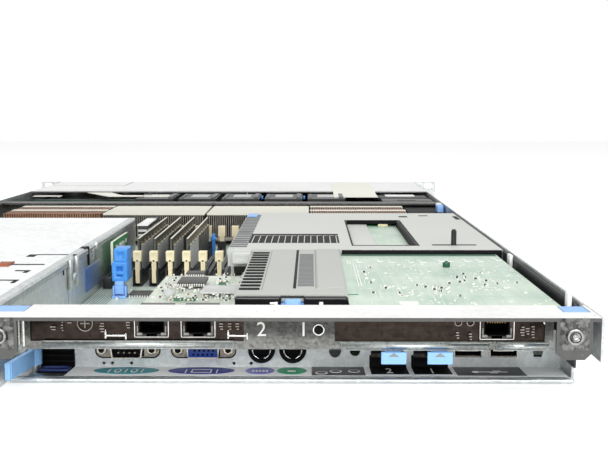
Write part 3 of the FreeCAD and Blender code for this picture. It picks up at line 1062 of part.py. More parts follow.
# Ports behind the lower panel: serial and video shells with nuts, round sockets, bus sockets, switch.
PORTS = yr("io_setback") + "+plate_thick"
ports = []
for label, x in (("serial_shell", SERIAL), ("video_shell", VIDEO)):
    shell = body(label)
    lower, upper = DSUB_Z + "-dsub_height/2", DSUB_Z + "+dsub_height/2"
    pad(shell, "XZ", PORTS, "board_thick/2",
        rect(x + "-dsub_flange/2", x + "+dsub_flange/2", DSUB_Z + "-dsub_flange_height/2",
             DSUB_Z + "+dsub_flange_height/2"))
    pad(shell, "XZ", PORTS, "port_body",
        rect(x + "-dsub_wide/2", x + "+dsub_wide/2", BOARD, upper))
    pad(shell, "XZ", PORTS + "-dsub_depth", "dsub_depth", outline(
        (x + "-dsub_narrow/2", lower), (x + "+dsub_narrow/2", lower), (x + "+dsub_wide/2", upper),
        (x + "-dsub_wide/2", upper)))
    if label == "serial_shell":
        pocket(shell, "XZ", PORTS + "-dsub_depth", "dsub_depth", outline(
            (x + "-dsub_narrow/2+dsub_wall", lower + "+dsub_wall"),
            (x + "+dsub_narrow/2-dsub_wall", lower + "+dsub_wall"),
            (x + "+dsub_wide/2-dsub_wall", upper + "-dsub_wall"),
            (x + "-dsub_wide/2+dsub_wall", upper + "-dsub_wall")))
    else:
        pocket(shell, "XZ", PORTS + "-dsub_depth", "dsub_wall", outline(
            (x + "-dsub_narrow/2+dsub_wall", lower + "+dsub_wall"),
            (x + "+dsub_narrow/2-dsub_wall", lower + "+dsub_wall"),
            (x + "+dsub_wide/2-dsub_wall", upper + "-dsub_wall"),
            (x + "-dsub_wide/2+dsub_wall", upper + "-dsub_wall")))
    ports.append(join(shell, *[prism(6, "y", x + sign + "nut_span/2", PORTS + "-nut_length", DSUB_Z,
                                     "nut_radius-jack_play", "nut_length")
                               for sign in ("-", "+")]))
for label, x in (("round_port_a", ROUND_A), ("round_port_b", ROUND_B)):
    shell = body(label)
    pad(shell, "XZ", PORTS, "port_body", rect(x + "-round_radius", x + "+round_radius", BOARD,
                                              ROUND_Z + "+round_radius-jack_play"))
    pad(shell, "XZ", PORTS + "-plate_thick-round_proud", "plate_thick+round_proud",
        ring(x, ROUND_Z, "round_radius-jack_play", 20))
    pocket(shell, "XZ", PORTS + "-plate_thick-round_proud", "2*round_proud",
           ring(x, ROUND_Z, "round_radius-dsub_wall-jack_play", 16),
           ring(x, ROUND_Z, "round_radius-4*dsub_wall", 12))
    ports.append(shell)
for label, x in (("bus_port_a", USB_A), ("bus_port_b", USB_B)):
    shell = body(label)
    pad(shell, "XZ", PORT_Y, "usb_length", rect(x + "-usb_width/2", x + "+usb_width/2", BOARD,
                                                BOARD + "+usb_height"))
    pocket(shell, "XZ", PORT_Y, "usb_length*0.7", rect(
        x + "-usb_width/2+usb_wall", x + "+usb_width/2-usb_wall", BOARD + "+usb_wall",
        BOARD + "+usb_height-usb_wall"))
    pad(shell, "XZ", PORT_Y + "+usb_wall", "usb_length*0.8", rect(
        x + "-usb_width/2+3*usb_wall", x + "+usb_width/2-3*usb_wall",
        BOARD + "+usb_height-3*usb_wall-usb_tongue",
        BOARD + "+usb_height-3*usb_wall"))
    ports.append(shell)
ports.append(block(IDENT + "-ident_radius", IDENT + "+ident_radius", PORTS + "+port_body",
                   PORTS + "+port_body+ident_radius*2",
                   BOARD, IDENT_Z + "+ident_radius"))
piece("io_ports", group(*ports))
STEM = "(port_body-2*button_travel)"
piece("id_button", join(
    rod("y", IDENT, yr("io_setback") + "-button_travel-collar_step", IDENT_Z, "ident_radius-turn_clear",
        "button_travel+collar_step+plate_thick+turn_clear"),
    prism(8, "y", IDENT, PORTS + "+turn_clear", IDENT_Z, "ident_radius+collar_step", "collar_step"),
    prism(8, "y", IDENT, PORTS + "+turn_clear", IDENT_Z, "ident_radius-turn_clear", STEM + "-turn_clear")))

# Blue release lever on its post at the left end of the lower panel.
grip = body("lever_arm")
tip_x, tip_y = LEVER_X + "-lever_lean", yr("(lever_pivot-lever_reach)")
pad(grip, "XY", "lever_rise", "lever_height", outline(
    (tip_x + "-lever_thick/2", tip_y), (tip_x + "+lever_thick/2", tip_y),
    (LEVER_X + "+lever_thick/2", yr("lever_pivot")), (LEVER_X + "-lever_thick/2", yr("lever_pivot"))))
strip = pad(grip, "XY", "lever_rise", "lever_height", rect(
    tip_x + "+lever_thick/2-lever_rib", tip_x + "+lever_thick/2+lever_rib", tip_y + "+2*lever_rib",
    tip_y + "+4*lever_rib"))
repeat(grip, strip, "Y", "lever_rib*8", 3)
piece("release_lever", cut(
    join(grip, prism(16, "z", LEVER_X, yr("lever_pivot"), "lever_rise", "lever_barrel", "lever_height")),
    prism(12, "z", LEVER_X, yr("lever_pivot"), "0", "lever_post+pin_clear", "2*lever_height")))

# Flat cables held by the case: a wide ribbon over the front cover and a narrow tape over the fans.
ribbon = body("ribbon")
edge = yr(DRIVE)
rear = edge + "-ribbon_rear"
fan_top = "(plate_thick+fan_size)"
pad(ribbon, "YZ", RIGHT + "-ribbon_inset-ribbon_width", "ribbon_width", outline(
    (rear, fan_top), (yr(FAN_END) + "-ribbon_bow", fan_top), (edge, TOP),
    (edge + "+ribbon_front", TOP), (edge + "+ribbon_front", TOP + "+ribbon_thick"),
    (edge, TOP + "+ribbon_thick"), (yr(FAN_END) + "-2*ribbon_bow", fan_top + "+ribbon_thick"),
    (rear, fan_top + "+ribbon_thick")))
tape = body("tape")
lane = LEFT + "+tape_inset"
fan_near = yr(FAN) + "+tape_rear"
pad(tape, "XY", fan_top, "tape_thick", outline(
    (lane, edge + "+tape_front"), (lane, edge), (lane + "+tape_reach*0.2", edge + "-tape_width"),
    (lane + "+tape_reach*0.55", fan_near), (lane + "+tape_reach*1.7", fan_near),
    (lane + "+tape_reach*1.7", fan_near + "+tape_width*0.7"),
    (lane + "+tape_reach*0.75", fan_near + "+tape_width*0.8"),
    (lane + "+tape_reach*0.45", edge), (lane + "+tape_reach*0.4", edge + "+tape_front")))
piece("flat_cables", group(ribbon, tape))

doc.recompute()

faults = []
for item in doc.Objects:
    if "Invalid" in item.State or "Error" in item.State:
        faults.append("%s (%s)" % (item.Label, item.Name))
for label, item in PIECES:
    if item.Shape.isNull() or not item.Shape.isValid() or not item.Shape.Solids:
        faults.append("shape of " + label)
if faults:
    raise RuntimeError("not built: " + ", ".join(faults))

os.makedirs("parts", exist_ok=True)
for label, item in PIECES:
    item.Shape.exportStep("parts/%s.step" % label)
    print(label, len(item.Shape.Solids), "solids", round(item.Shape.Volume), "mm3")
print(len(PIECES), "pieces")
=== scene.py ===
import json
import math
import random
import bpy
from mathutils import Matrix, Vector


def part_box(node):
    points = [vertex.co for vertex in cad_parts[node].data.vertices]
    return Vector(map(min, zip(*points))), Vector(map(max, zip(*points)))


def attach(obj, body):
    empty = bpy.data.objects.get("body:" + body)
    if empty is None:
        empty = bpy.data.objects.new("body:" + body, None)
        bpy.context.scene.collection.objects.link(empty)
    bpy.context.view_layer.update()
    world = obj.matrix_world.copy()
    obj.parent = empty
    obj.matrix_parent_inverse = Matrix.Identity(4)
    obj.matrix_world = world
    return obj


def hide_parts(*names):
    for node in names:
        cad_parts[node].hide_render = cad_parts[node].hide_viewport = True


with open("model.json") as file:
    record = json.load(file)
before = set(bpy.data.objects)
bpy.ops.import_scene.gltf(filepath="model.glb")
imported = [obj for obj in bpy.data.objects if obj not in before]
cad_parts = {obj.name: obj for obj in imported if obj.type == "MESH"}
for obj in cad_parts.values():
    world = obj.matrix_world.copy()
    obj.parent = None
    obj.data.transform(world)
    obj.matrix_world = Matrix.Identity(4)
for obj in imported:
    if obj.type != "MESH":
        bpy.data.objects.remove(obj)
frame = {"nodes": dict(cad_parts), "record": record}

bpy.ops.object.select_all(action="DESELECT")
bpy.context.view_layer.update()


# View, light and stage.
# The server lies on a pale table, seen from its rear and a little from above. Soft lamps light
# it from above and from the rear; its surroundings are palest above and at the front end.
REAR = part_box("rear_hood")[0][1]
lens = bpy.data.cameras.new("view")
lens.sensor_width = 36.0
lens.lens = 56.17
lens.clip_start = 0.01
view = bpy.data.objects.new("view", lens)
view.location = (0.0889, REAR - 0.399, 0.1301)
view.rotation_euler = (math.radians(90 - 7.18), 0, math.radians(0.41))
bpy.context.scene.collection.objects.link(view)
bpy.context.scene.camera = view
bpy.context.scene.view_settings.view_transform = "Standard"


class Field:
    """A value or colour that varies over a surface, with arithmetic on it."""

    def __init__(self, finish, socket):
        self.finish = finish
        self.socket = socket

    def work(self, operation, first, second=0.0):
        return self.finish.node("ShaderNodeMath", {"operation": operation}, {0: first, 1: second})

    def __add__(self, other):
        return self.work("ADD", self, other)

    def __radd__(self, other):
        return self.work("ADD", other, self)

    def __sub__(self, other):
        return self.work("SUBTRACT", self, other)

    def __rsub__(self, other):
        return self.work("SUBTRACT", other, self)

    def __mul__(self, other):
        return self.work("MULTIPLY", self, other)

    def __rmul__(self, other):
        return self.work("MULTIPLY", other, self)

    def __gt__(self, other):
        return self.work("GREATER_THAN", self, other)

    def __lt__(self, other):
        return self.work("LESS_THAN", self, other)

    def __abs__(self):
        return self.work("ABSOLUTE", self)

    def higher(self, other):
        return self.work("MAXIMUM", self, other)


class Finish:
    """One procedural finish: a shader and a single way of adding nodes to it."""

    def __init__(self, name, tree=None):
        if tree is None:
            self.material = bpy.data.materials.new(name)
            self.material.use_nodes = True
            tree = self.material.node_tree
            self.shader = tree.nodes["Principled BSDF"]
        self.tree = tree

    def node(self, kind, settings=None, inputs=None, output=0):
        item = self.tree.nodes.new(kind)
        for key, value in (settings or {}).items():
            setattr(item, key, value)
        for key, value in (inputs or {}).items():
            self.feed(item.inputs[key], value)
        return Field(self, item.outputs[output])

    def feed(self, socket, value):
        if isinstance(value, Field):
            self.tree.links.new(value.socket, socket)
        else:
            socket.default_value = value

    def set(self, **inputs):
        names = {"colour": "Base Color", "rough": "Roughness", "metal": "Metallic",
                 "shine": "Specular IOR Level", "coat": "Coat Weight", "coat_rough": "Coat Roughness",
                 "glow": "Emission Color", "glow_strength": "Emission Strength"}
        for key, value in inputs.items():
            if isinstance(value, tuple) and len(value) == 3:
                value = (*value, 1)
            self.feed(self.shader.inputs[names[key]], value)
        return self

    def spot(self, axis=None):
        """Object coordinates, whole or one of the three."""
        where = self.node("ShaderNodeTexCoord", output="Object")
        if axis is None:
            return where
        return self.node("ShaderNodeSeparateXYZ", {}, {"Vector": where}, output="XYZ".index(axis))

    def grain(self, scale, detail=3.0, stretch=(1, 1, 1)):
        place = self.node("ShaderNodeMapping", {}, {"Vector": self.spot(), "Scale": stretch})
        inputs = {"Vector": place, "Scale": scale, "Detail": detail}
        return self.node("ShaderNodeTexNoise", {}, inputs, output="Fac")

    def cells(self, scale, stretch=(1, 1, 1), output="Distance"):
        place = self.node("ShaderNodeMapping", {}, {"Vector": self.spot(), "Scale": stretch})
        return self.node("ShaderNodeTexVoronoi", {}, {"Vector": place, "Scale": scale}, output=output)

    def level(self, value, low, high, start=0.0, end=1.0):
        return self.node("ShaderNodeMapRange", {"clamp": True},
                         {"Value": value, "From Min": low, "From Max": high, "To Min": start, "To Max": end})

    def mix(self, mask, first, second):
        first, second = [tone if isinstance(tone, Field) else (*tone, 1) for tone in (first, second)]
        return self.node("ShaderNodeMix", {"data_type": "RGBA"}, {0: mask, 6: first, 7: second}, output=2)

    def facing(self, axis):
        """How far a face looks along one axis, from -1 to 1."""
        normal = self.node("ShaderNodeNewGeometry", output="Normal")
        return self.node("ShaderNodeSeparateXYZ", {}, {"Vector": normal}, output="XYZ".index(axis))

    def bump(self, height, strength, depth):
        inputs = {"Height": height, "Strength": strength, "Distance": depth}
        self.feed(self.shader.inputs["Normal"], self.node("ShaderNodeBump", {}, inputs, output="Normal"))


sky = bpy.data.worlds.new("studio")
bpy.context.scene.world = sky
sky.use_nodes = True
air = Finish("studio", sky.node_tree)
ray = air.node("ShaderNodeTexCoord", output="Generated")
along = air.node("ShaderNodeSeparateXYZ", {}, {"Vector": ray}, output=1)
above = air.node("ShaderNodeSeparateXYZ", {}, {"Vector": ray}, output=2)
front_end = air.level(along, -0.35, 0.25)
overhead = air.level(above, 0.25, 0.75)
glow = front_end.higher(overhead)
seen = air.node("ShaderNodeLightPath", output="Is Camera Ray")
mirrored = air.node("ShaderNodeLightPath", output="Is Glossy Ray")
through = air.node("ShaderNodeLightPath", output="Is Transmission Ray")
plain = air.mix(glow, (0.30, 0.30, 0.30), (0.55, 0.55, 0.55))
bright = air.mix(glow, (0.20, 0.19, 0.18), (1.0, 1.0, 1.0))
tone = air.mix(seen.higher(mirrored).higher(through), plain, bright)
back = sky.node_tree.nodes["Background"]
air.feed(back.inputs["Color"], tone)
back.inputs["Strength"].default_value = 1.0

bpy.ops.mesh.primitive_plane_add(size=6, location=(0, 0, -0.0005))
table = bpy.context.object
table.name = "table"
bpy.ops.object.mode_set(mode="EDIT")
bpy.ops.mesh.subdivide(number_cuts=4)
bpy.ops.object.mode_set(mode="OBJECT")
paper = Finish("table_top")
speck = paper.grain(40.0)
paper.set(colour=paper.mix(speck, (0.86, 0.86, 0.86), (0.90, 0.90, 0.90)), rough=0.7)
rays = paper.node("ShaderNodeLightPath", output="Is Camera Ray")
glossy = paper.node("ShaderNodeLightPath", output="Is Glossy Ray")
clear = paper.node("ShaderNodeLightPath", output="Is Transmission Ray")
lift = rays.higher(glossy).higher(clear)
paper.set(glow=paper.mix(lift, (0, 0, 0), (0.42, 0.42, 0.42)), glow_strength=1.0)
table.data.materials.append(paper.material)


def lamp(name, place, aim, size, power):
    light = bpy.data.lights.new(name, "AREA")
    light.shape = "RECTANGLE"
    light.size, light.size_y = size
    light.energy = power
    item = bpy.data.objects.new(name, light)
    item.location = place
    item.rotation_euler = (Vector(aim) - Vector(place)).to_track_quat("-Z", "Y").to_euler()
    bpy.context.scene.collection.objects.link(item)


lamp("overhead", (0.1, 0.1, 1.5), (0.05, -0.05, 0), (1.6, 1.6), 8)
lamp("rear_fill", (0.10, -1.6, 0.64), (0.06, -0.3, 0.02), (1.8, 0.5), 22.5)


# Folded tray and rack ears.
# Zinc-plated steel sheet, folded into floor and walls; it shows fine rolling streaks, a faint
# crystal pattern and cloudy patches.
def zinc_sheet(name, dark, light, rough=(0.28, 0.48), streak=(1, 1, 1), spangle=420.0,
               upright=1.0, specks=0.0, foot=None, metal=1.0):
    """Sheet metal: upright faces may be darkened as painted shade, pits may show, and a band at the foot may
    be lightened as painted light.
    """
    finish = Finish(name)
    crystal = finish.cells(spangle, output="Color")
    patch = finish.node("ShaderNodeSeparateColor", {}, {"Color": crystal}, output=0)
    lines = finish.grain(900.0, 4.0, streak)
    cloud = finish.grain(22.0, 3.0)
    mask = finish.level(patch * 0.35 + lines * 0.45 + cloud * 0.35, 0.32, 0.86)
    tone = finish.mix(mask, dark, light)
    # Painted shade: faces that stand upright get a darker copy of the tone, scaled by upright.
    if upright < 1:
        shaded_tones = [tuple(c * upright for c in shade) for shade in (dark, light)]
        tone = finish.mix(finish.level(abs(finish.facing("Z")), 0.3, 0.9), finish.mix(mask, *shaded_tones), tone)
    # Painted light: below a given height the tone is made paler by a gain, as if more light were reflected
    # low on the part.
    if foot:
        below, above, gain = foot
        paler = finish.mix(mask, *[tuple(min(1.0, c * gain) for c in shade) for shade in (dark, light)])
        tone = finish.mix(finish.level(finish.spot("Z"), below, above), paler, tone)
    if specks:
        pits = (finish.cells(240.0) < 0.12) * (cloud > 1 - specks)
        tone = finish.mix(pits * 0.8, tone, tuple(c * 0.2 for c in dark))
    finish.set(colour=tone, metal=metal)
    finish.set(rough=finish.level(lines + cloud, 0.6, 1.4, rough[0], rough[1]))
    finish.bump(lines + patch * 0.3, 0.12, 0.0002)
    return finish


def dress(finish, *names):
    """Give a CAD piece its finish."""
    for name in names:
        for slot in frame["nodes"][name].material_slots:
            slot.material = finish.material


tray_zinc = zinc_sheet("tray_zinc", (0.46, 0.48, 0.48), (0.70, 0.72, 0.72), streak=(1, 0.05, 1))
dress(tray_zinc, "chassis_tray", "board_standoffs", "rack_ears")


# Main board and the cards.
# Green glass laminate under clear lacquer: fine tracks, rows of tinned holes and white marks
# show on its faces, and the sawn edges are a darker green.
LACQUER = 0.45


def hue(text):
    """Linear colour from the usual six-digit notation."""
    tones = [int(text[k:k + 2], 16) / 255 for k in (0, 2, 4)]
    return tuple(t / 12.92 if t <= 0.04045 else ((t + 0.055) / 1.055) ** 2.4 for t in tones)


def laminate(name, deep, pale, edge, marks):
    finish = Finish(name)
    tracks = finish.level(finish.grain(420.0, 2.0, (1, 0.07, 1)), 0.46, 0.58)
    holes = finish.cells(330.0) < 0.15
    dashes = finish.cells(190.0, (1, 2.6, 1), output="Color")
    pick = finish.node("ShaderNodeSeparateColor", {}, {"Color": dashes}, output=1) > (1.0 - marks * 0.16)
    inner = finish.cells(190.0, (1, 2.6, 1)) < 0.30
    cloud = finish.grain(30.0, 2.0)
    face = finish.mix(finish.level(tracks * 0.14 + cloud * 1.1, 0.35, 0.85), deep, pale)
    face = finish.mix(holes * 0.65, face, (0.66, 0.70, 0.62))
    face = finish.mix((pick * inner) * 0.8, face, (0.86, 0.89, 0.84))
    finish.set(colour=finish.mix(abs(finish.facing("Z")) > 0.5, edge, face))
    finish.set(rough=finish.level(holes + tracks * 0.4, 0, 1.4, LACQUER, LACQUER + 0.2))
    finish.set(coat=finish.level(cloud, 0.3, 0.7, 0.15, 0.35), coat_rough=LACQUER)
    finish.bump(tracks * 0.4 + holes, 0.15, 0.00015)
    return finish


mint = laminate("card_mint", hue("A9C2B0"), hue("CBDACA"), hue("2F7A55"), marks=0.35)
moss = laminate("board_moss", hue("A6B8AD"), hue("DAE5DD"), hue("24463A"), marks=0.5)
sage = laminate("card_sage", hue("B4C0B0"), hue("E2E8DB"), hue("4E7B62"), marks=0.8)
dress(mint, "right_card", "mezzanine_card", "riser_board")
dress(sage, "left_card")
dress(moss, "motherboard", "drive_backplane")


# Grey mouldings: riser cover and air shroud.
# Light grey plastic with a fine spark-eroded texture and faint smears; the sockets, fans and
# front panel are the same in black.
def moulded(name, tone, shade=0.86, rough=0.5):
    finish = Finish(name)
    skin = finish.grain(1500.0, 2.0)
    smear = finish.grain(18.0, 4.0)
    dark = tuple(c * shade for c in tone)
    finish.set(colour=finish.mix(finish.level(smear + skin * 0.3, 0.4, 0.9), dark, tone))
    finish.set(rough=finish.level(skin + smear, 0.6, 1.4, rough - 0.08, rough + 0.08))
    finish.bump(skin, 0.12, 0.0001)
    return finish


grey_shell = moulded("grey_shell", hue("D0D2CD"), 0.92)
grey_cover = moulded("grey_cover", hue("B9BCB6"), 0.9)
black_part = moulded("black_part", hue("26272A"), 0.7, 0.42)
dress(grey_cover, "riser_cover")
dress(grey_shell, "air_shroud", "drive_carrier_1", "drive_carrier_2", "drive_handle_1", "drive_handle_2")
dress(black_part, "dimm_sockets", "fan_frames", "front_panel", "optical_drive", "fold_post", "processors")
dress(black_part, *["fan_rotor_%d" % k for k in range(1, 6)])


# Blue and ivory touch points.
# Parts meant to be touched are moulded in light blue: the flaps of the hood, the jack tabs, the
# riser's button and the lever. Memory latches are ivory nylon.
light_blue = moulded("light_blue", hue("8FBEFA"), 0.92, 0.4)
lever_blue = moulded("lever_blue", hue("97CBFF"), 0.9, 0.4)
ivory = moulded("ivory", hue("F7EAC4"), 0.9, 0.45)
dress(light_blue, "jack_tab_1", "jack_tab_2", "card_latch_left", "card_latch_right", "riser_button")
dress(lever_blue, "release_lever")
dress(ivory, "dimm_latches_far")


# Sheet parts of the rear: hood, slot frame, lower panel and power bay.
# Bright zinc sheet, scratched lengthways where covers slide over it; upright faces carry painted
# shade and the slot frame a painted paler band low down. The card brackets are dark nickel.
# Painted shade: upright faces of the hood, its tabs among them, take 0.13 of its tone.
hood_zinc = zinc_sheet("hood_zinc", (0.84, 0.85, 0.83), (0.96, 0.96, 0.94), (0.30, 0.5), (0.05, 1, 1),
                       upright=0.13, specks=0.4)
# Painted light: the slot frame is 2.6 times paler below 23.5 mm, a painted lighter band at its foot.
frame_zinc = zinc_sheet("frame_zinc", (0.045, 0.045, 0.042), (0.11, 0.112, 0.107), (0.25, 0.45), (0.06, 1, 1),
                        700.0, foot=(0.0235, 0.0275, 2.6))
panel_zinc = zinc_sheet("panel_zinc", (0.66, 0.70, 0.70), (0.84, 0.88, 0.89), (0.4, 0.6), metal=0.75)
# Painted shade: upright faces of the power bay cage are a little darker, 0.95 of its tone.
cage_zinc = zinc_sheet("cage_zinc", (0.78, 0.80, 0.80), (0.96, 0.97, 0.97), (0.36, 0.54), (1, 0.04, 1),
                       upright=0.95)
# Painted shade: upright faces of the front cover take 0.3 of its tone.
cover_zinc = zinc_sheet("cover_zinc", (0.74, 0.75, 0.74), (0.88, 0.88, 0.87), (0.30, 0.5), (0.05, 1, 1),
                        upright=0.3)
dress(hood_zinc, "rear_hood")
dress(cover_zinc, "front_top_cover")
dress(frame_zinc, "slot_frame")
dress(panel_zinc, "io_panel")
supply_zinc = zinc_sheet("supply_zinc", (0.46, 0.48, 0.48), (0.66, 0.68, 0.68), (0.36, 0.54), (1, 0.04, 1))
dress(cage_zinc, "psu_cage")
dress(supply_zinc, "power_supply_1", "power_supply_2")
nickel = zinc_sheet("dark_nickel", (0.024, 0.018, 0.015), (0.052, 0.040, 0.034), (0.22, 0.4), (0.1, 1, 1))
dress(nickel, "slot_brackets")
jack_shield = zinc_sheet("jack_shield", (0.030, 0.026, 0.023), (0.085, 0.076, 0.070), (0.25, 0.45))
port_metal = zinc_sheet("port_metal", (0.46, 0.44, 0.40), (0.74, 0.71, 0.65), (0.2, 0.4))
dress(jack_shield, "network_jacks")
dress(port_metal, "io_ports")


# Rail, buttons and flat cables.
# The cross rail is dark sheet with a rolled grain; the power button is white, the other black,
# and the flat cables are cream.
rail_grey = zinc_sheet("rail_grey", (0.068, 0.068, 0.065), (0.145, 0.145, 0.14), (0.35, 0.55), (0.05, 1, 1))
white_cap = moulded("white_cap", hue("F6F6F4"), 0.95, 0.5)
band = moulded("cable_band", hue("F5F4E9"), 0.95, 0.6)
dress(rail_grey, "fan_rail")
dress(white_cap, "power_button")
dress(black_part, "id_button")
dress(band, "flat_cables")


# Captive screws of the hood tabs.
# Turned steel: a low round head with a rim, a deep drive recess and a small pin in its middle,
# in front of a rubbed plate on each tab.
def at(x, y, z):
    """Millimetres across, from the hood's rear edge, and up, as a place in the frame."""
    return Vector((x / 1000, REAR + y / 1000, z / 1000))


def millimetres(box):
    """A box's two corners as millimetres across, from the hood's rear edge, and up."""
    return [(x * 1000, (y - REAR) * 1000, z * 1000) for x, y, z in box]


def span(node):
    """The two corners of a CAD piece."""
    return millimetres(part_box(node))


def alone(piece=None):
    """Clear the selection, and choose one piece if it is given."""
    bpy.ops.object.select_all(action="DESELECT")
    if piece:
        bpy.context.view_layer.objects.active = piece
        piece.select_set(True)


def settle():
    """Bring the newest piece to the origin, unturned and unscaled, with its shape in place."""
    bpy.ops.object.transform_apply(location=True, rotation=True, scale=True)
    return bpy.context.object


def soften():
    bpy.ops.object.shade_smooth_by_angle(angle=math.radians(40))


def edit(piece, facing=None, limit=0.99):
    """Enter edit mode with all faces, or those that look one way: "-y", "+z", or "y" for both ends."""
    alone(piece)
    bpy.ops.object.mode_set(mode="EDIT")
    bpy.ops.mesh.select_mode(type="FACE")
    bpy.ops.mesh.select_all(action="DESELECT" if facing else "SELECT")
    if facing:
        bpy.ops.object.mode_set(mode="OBJECT")
        for face in piece.data.polygons:
            along = face.normal["xyz".index(facing[-1])]
            face.select = {"+": along, "-": -along, "": abs(along)}[facing[:-1]] > limit
        bpy.ops.object.mode_set(mode="EDIT")


def done():
    bpy.ops.object.mode_set(mode="OBJECT")


def press(piece, facing, *steps, limit=0.99):
    """Inset the faces that look one way, in steps of width and rise in millimetres."""
    edit(piece, facing, limit)
    for width, rise in steps:
        bpy.ops.mesh.inset(thickness=width / 1000, depth=rise / 1000)
    done()
    return piece


def slab(name, low, high, edge=0.3, steps=2):
    """Block between two corners with rounded edges."""
    alone()
    a, b = at(*low), at(*high)
    bpy.ops.mesh.primitive_cube_add(size=1, location=(a + b) / 2)
    piece = bpy.context.object
    piece.name = name
    piece.scale = b - a
    settle()
    if edge:
        edit(piece)
        bpy.ops.mesh.bevel(offset=edge / 1000, segments=steps, affect="EDGES", clamp_overlap=True)
        done()
        soften()
    return piece


def peg(name, axis, base, radius, length, edge=0.2, sides=28):
    """Round bar from its base along one axis, with rounded rims."""
    alone()
    way = "xyz".index(axis)
    turn = ((0, math.pi / 2, 0), (math.pi / 2, 0, 0), (0, 0, 0))[way]
    middle = [value + length / 2 if k == way else value for k, value in enumerate(base)]
    bpy.ops.mesh.primitive_cylinder_add(vertices=sides, radius=radius / 1000, depth=length / 1000,
                                        location=at(*middle), rotation=turn)
    bpy.context.object.name = name
    piece = settle()
    if edge:
        edit(piece, axis)
        bpy.ops.mesh.bevel(offset=edge / 1000, segments=2, affect="EDGES", clamp_overlap=True)
        done()
    soften()
    return piece


def hoop(middle, radius, thick, sides, rounds):
    """Thin ring that stands on the rear face."""
    alone()
    bpy.ops.mesh.primitive_torus_add(location=at(*middle), rotation=(math.pi / 2, 0, 0),
                                     major_segments=sides, minor_segments=rounds,
                                     major_radius=radius / 1000, minor_radius=thick / 1000)
    return settle()


def merge(name, pieces):
    """Join pieces into one."""
    alone()
    for piece in pieces:
        piece.select_set(True)
    bpy.context.view_layer.objects.active = pieces[0]
    if len(pieces) > 1:
        bpy.ops.object.join()
    pieces[0].name = name
    return pieces[0]


def fit(piece, finish, body="case", stands_for=()):
    """Finish a piece, let it ride on its body and hide the CAD nodes that it stands for."""
    piece.data.materials.clear()
    piece.data.materials.append(finish.material)
    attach(piece, body)
    if stands_for:
        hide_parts(*stands_for)
    return piece


screw_steel = zinc_sheet("screw_steel", (0.20, 0.20, 0.20), (0.42, 0.42, 0.41), (0.2, 0.36))
low, high = span("hood_screws")
SCREW_Z = (low[2] + high[2]) / 2
SCREW_R = (high[2] - low[2]) / 2
screws, grooves, plates = [], [], []
for x in (low[0] + SCREW_R, high[0] - SCREW_R):
    head = peg("screw", "y", (x, low[1], SCREW_Z), SCREW_R, -low[1], 0.5, 40)
    screws.append(press(head, "-y", (0.9, 0), (0.2, -0.4), (0.8, 0), (0.2, -0.9), (0.6, 0.5)))
    screws.append(peg("shank", "y", (x, 0, SCREW_Z), 1.8, high[1], 0.3, 20))
    grooves.append(hoop((x, low[1] + 0.1, SCREW_Z), SCREW_R - 1.3, 0.3, 40, 8))
    plate = slab("plate", (x - 6.4, -0.14, SCREW_Z - 6.2), (x + 6.4, 0.0, SCREW_Z + 8.0), 0.05, 1)
    plates.append(press(plate, "-y", (0.5, 0.04)))
fit(merge("captive_screws", screws), screw_steel, stands_for=["hood_screws"])
# Painted shade: a dark ring on each head stands in for the shade in the groove round its rim.
groove_dark = zinc_sheet("groove_dark", (0.02, 0.02, 0.02), (0.06, 0.06, 0.06), (0.3, 0.5))
fit(merge("screw_grooves", grooves), groove_dark)
tab_zinc = zinc_sheet("tab_zinc", (0.025, 0.025, 0.025), (0.24, 0.24, 0.235), (0.22, 0.4), (1, 1, 0.3),
                      620.0)
fit(merge("tab_plates", plates), tab_zinc)


# Bars, ring, clips and slot numbers of the slot frame.
# Formed strips of the same zinc sheet hold the cards' brackets down; the ring is a pressed-in
# nut; the numbers are printed in white.
BRACKET = span("slot_frame")[0][1] + 0.8
BAR_HIGH = 4.0
RING_X, RING_Z = 92.6, 28.8
bars = []
for x0, x1, z in ((-35.5, 53.6, 19.6), (102.8, 171.8, 19.0), (174.6, 199.2, 19.0)):
    bar = slab("bar", (x0, BRACKET - 0.9, z), (x1, BRACKET + 0.05, z + BAR_HIGH), 0.4, 3)
    bars.append(press(bar, "-y", (0.5, 0), (0.2, -0.2), limit=0.9))
bar_zinc = zinc_sheet("bar_zinc", (0.38, 0.41, 0.40), (0.64, 0.67, 0.66), (0.22, 0.4), (0.06, 1, 1), 700.0)
fit(merge("slot_bars", bars), bar_zinc)
bright_zinc = zinc_sheet("bright_zinc", (0.66, 0.66, 0.64), (0.90, 0.90, 0.88), (0.12, 0.28))
clips = []
for x0, x1 in ((-6.4, 3.8), (50.4, 60.0)):
    for left, right, z0, z1 in ((x0, x1, 25.4, 26.2), (x0, x0 + 0.8, 24.4, 28.6), (x1 - 0.8, x1, 24.0, 27.0)):
        clips.append(slab("clip", (left, BRACKET - 0.5, z0), (right, BRACKET + 1.3, z1), 0.2))
ring = peg("ring", "y", (RING_X, BRACKET - 1.0, RING_Z), 2.75, 1.05, 0.25, 36)
clips.append(press(ring, "-y", (0.3, 0), (0.1, -0.6)))
clips.append(peg("rivet", "y", (197.4, BRACKET + 0.6, 32.0), 1.1, 1.3, 0.4, 20))
clips.append(slab("fold", (-47.2, 22.0, 21.0), (-45.0, 30.6, 39.2), 1.0, 4))
clips.append(slab("fold", (-44.6, BRACKET - 0.9, 20.5), (-43.4, BRACKET + 0.4, 39.0), 0.5, 3))
fit(merge("frame_clips", clips), bright_zinc)
mouth_black = moulded("mouth_black", hue("0E0E10"), 0.7, 0.6)
mouth_black.set(shine=0.15)
ring_hole = peg("ring_hole", "y", (RING_X, BRACKET - 1.05, RING_Z), 1.95, 0.8, 0.1, 30)
fit(ring_hole, mouth_black)
white_print = moulded("white_print", hue("F2F2EE"), 0.95, 0.6)


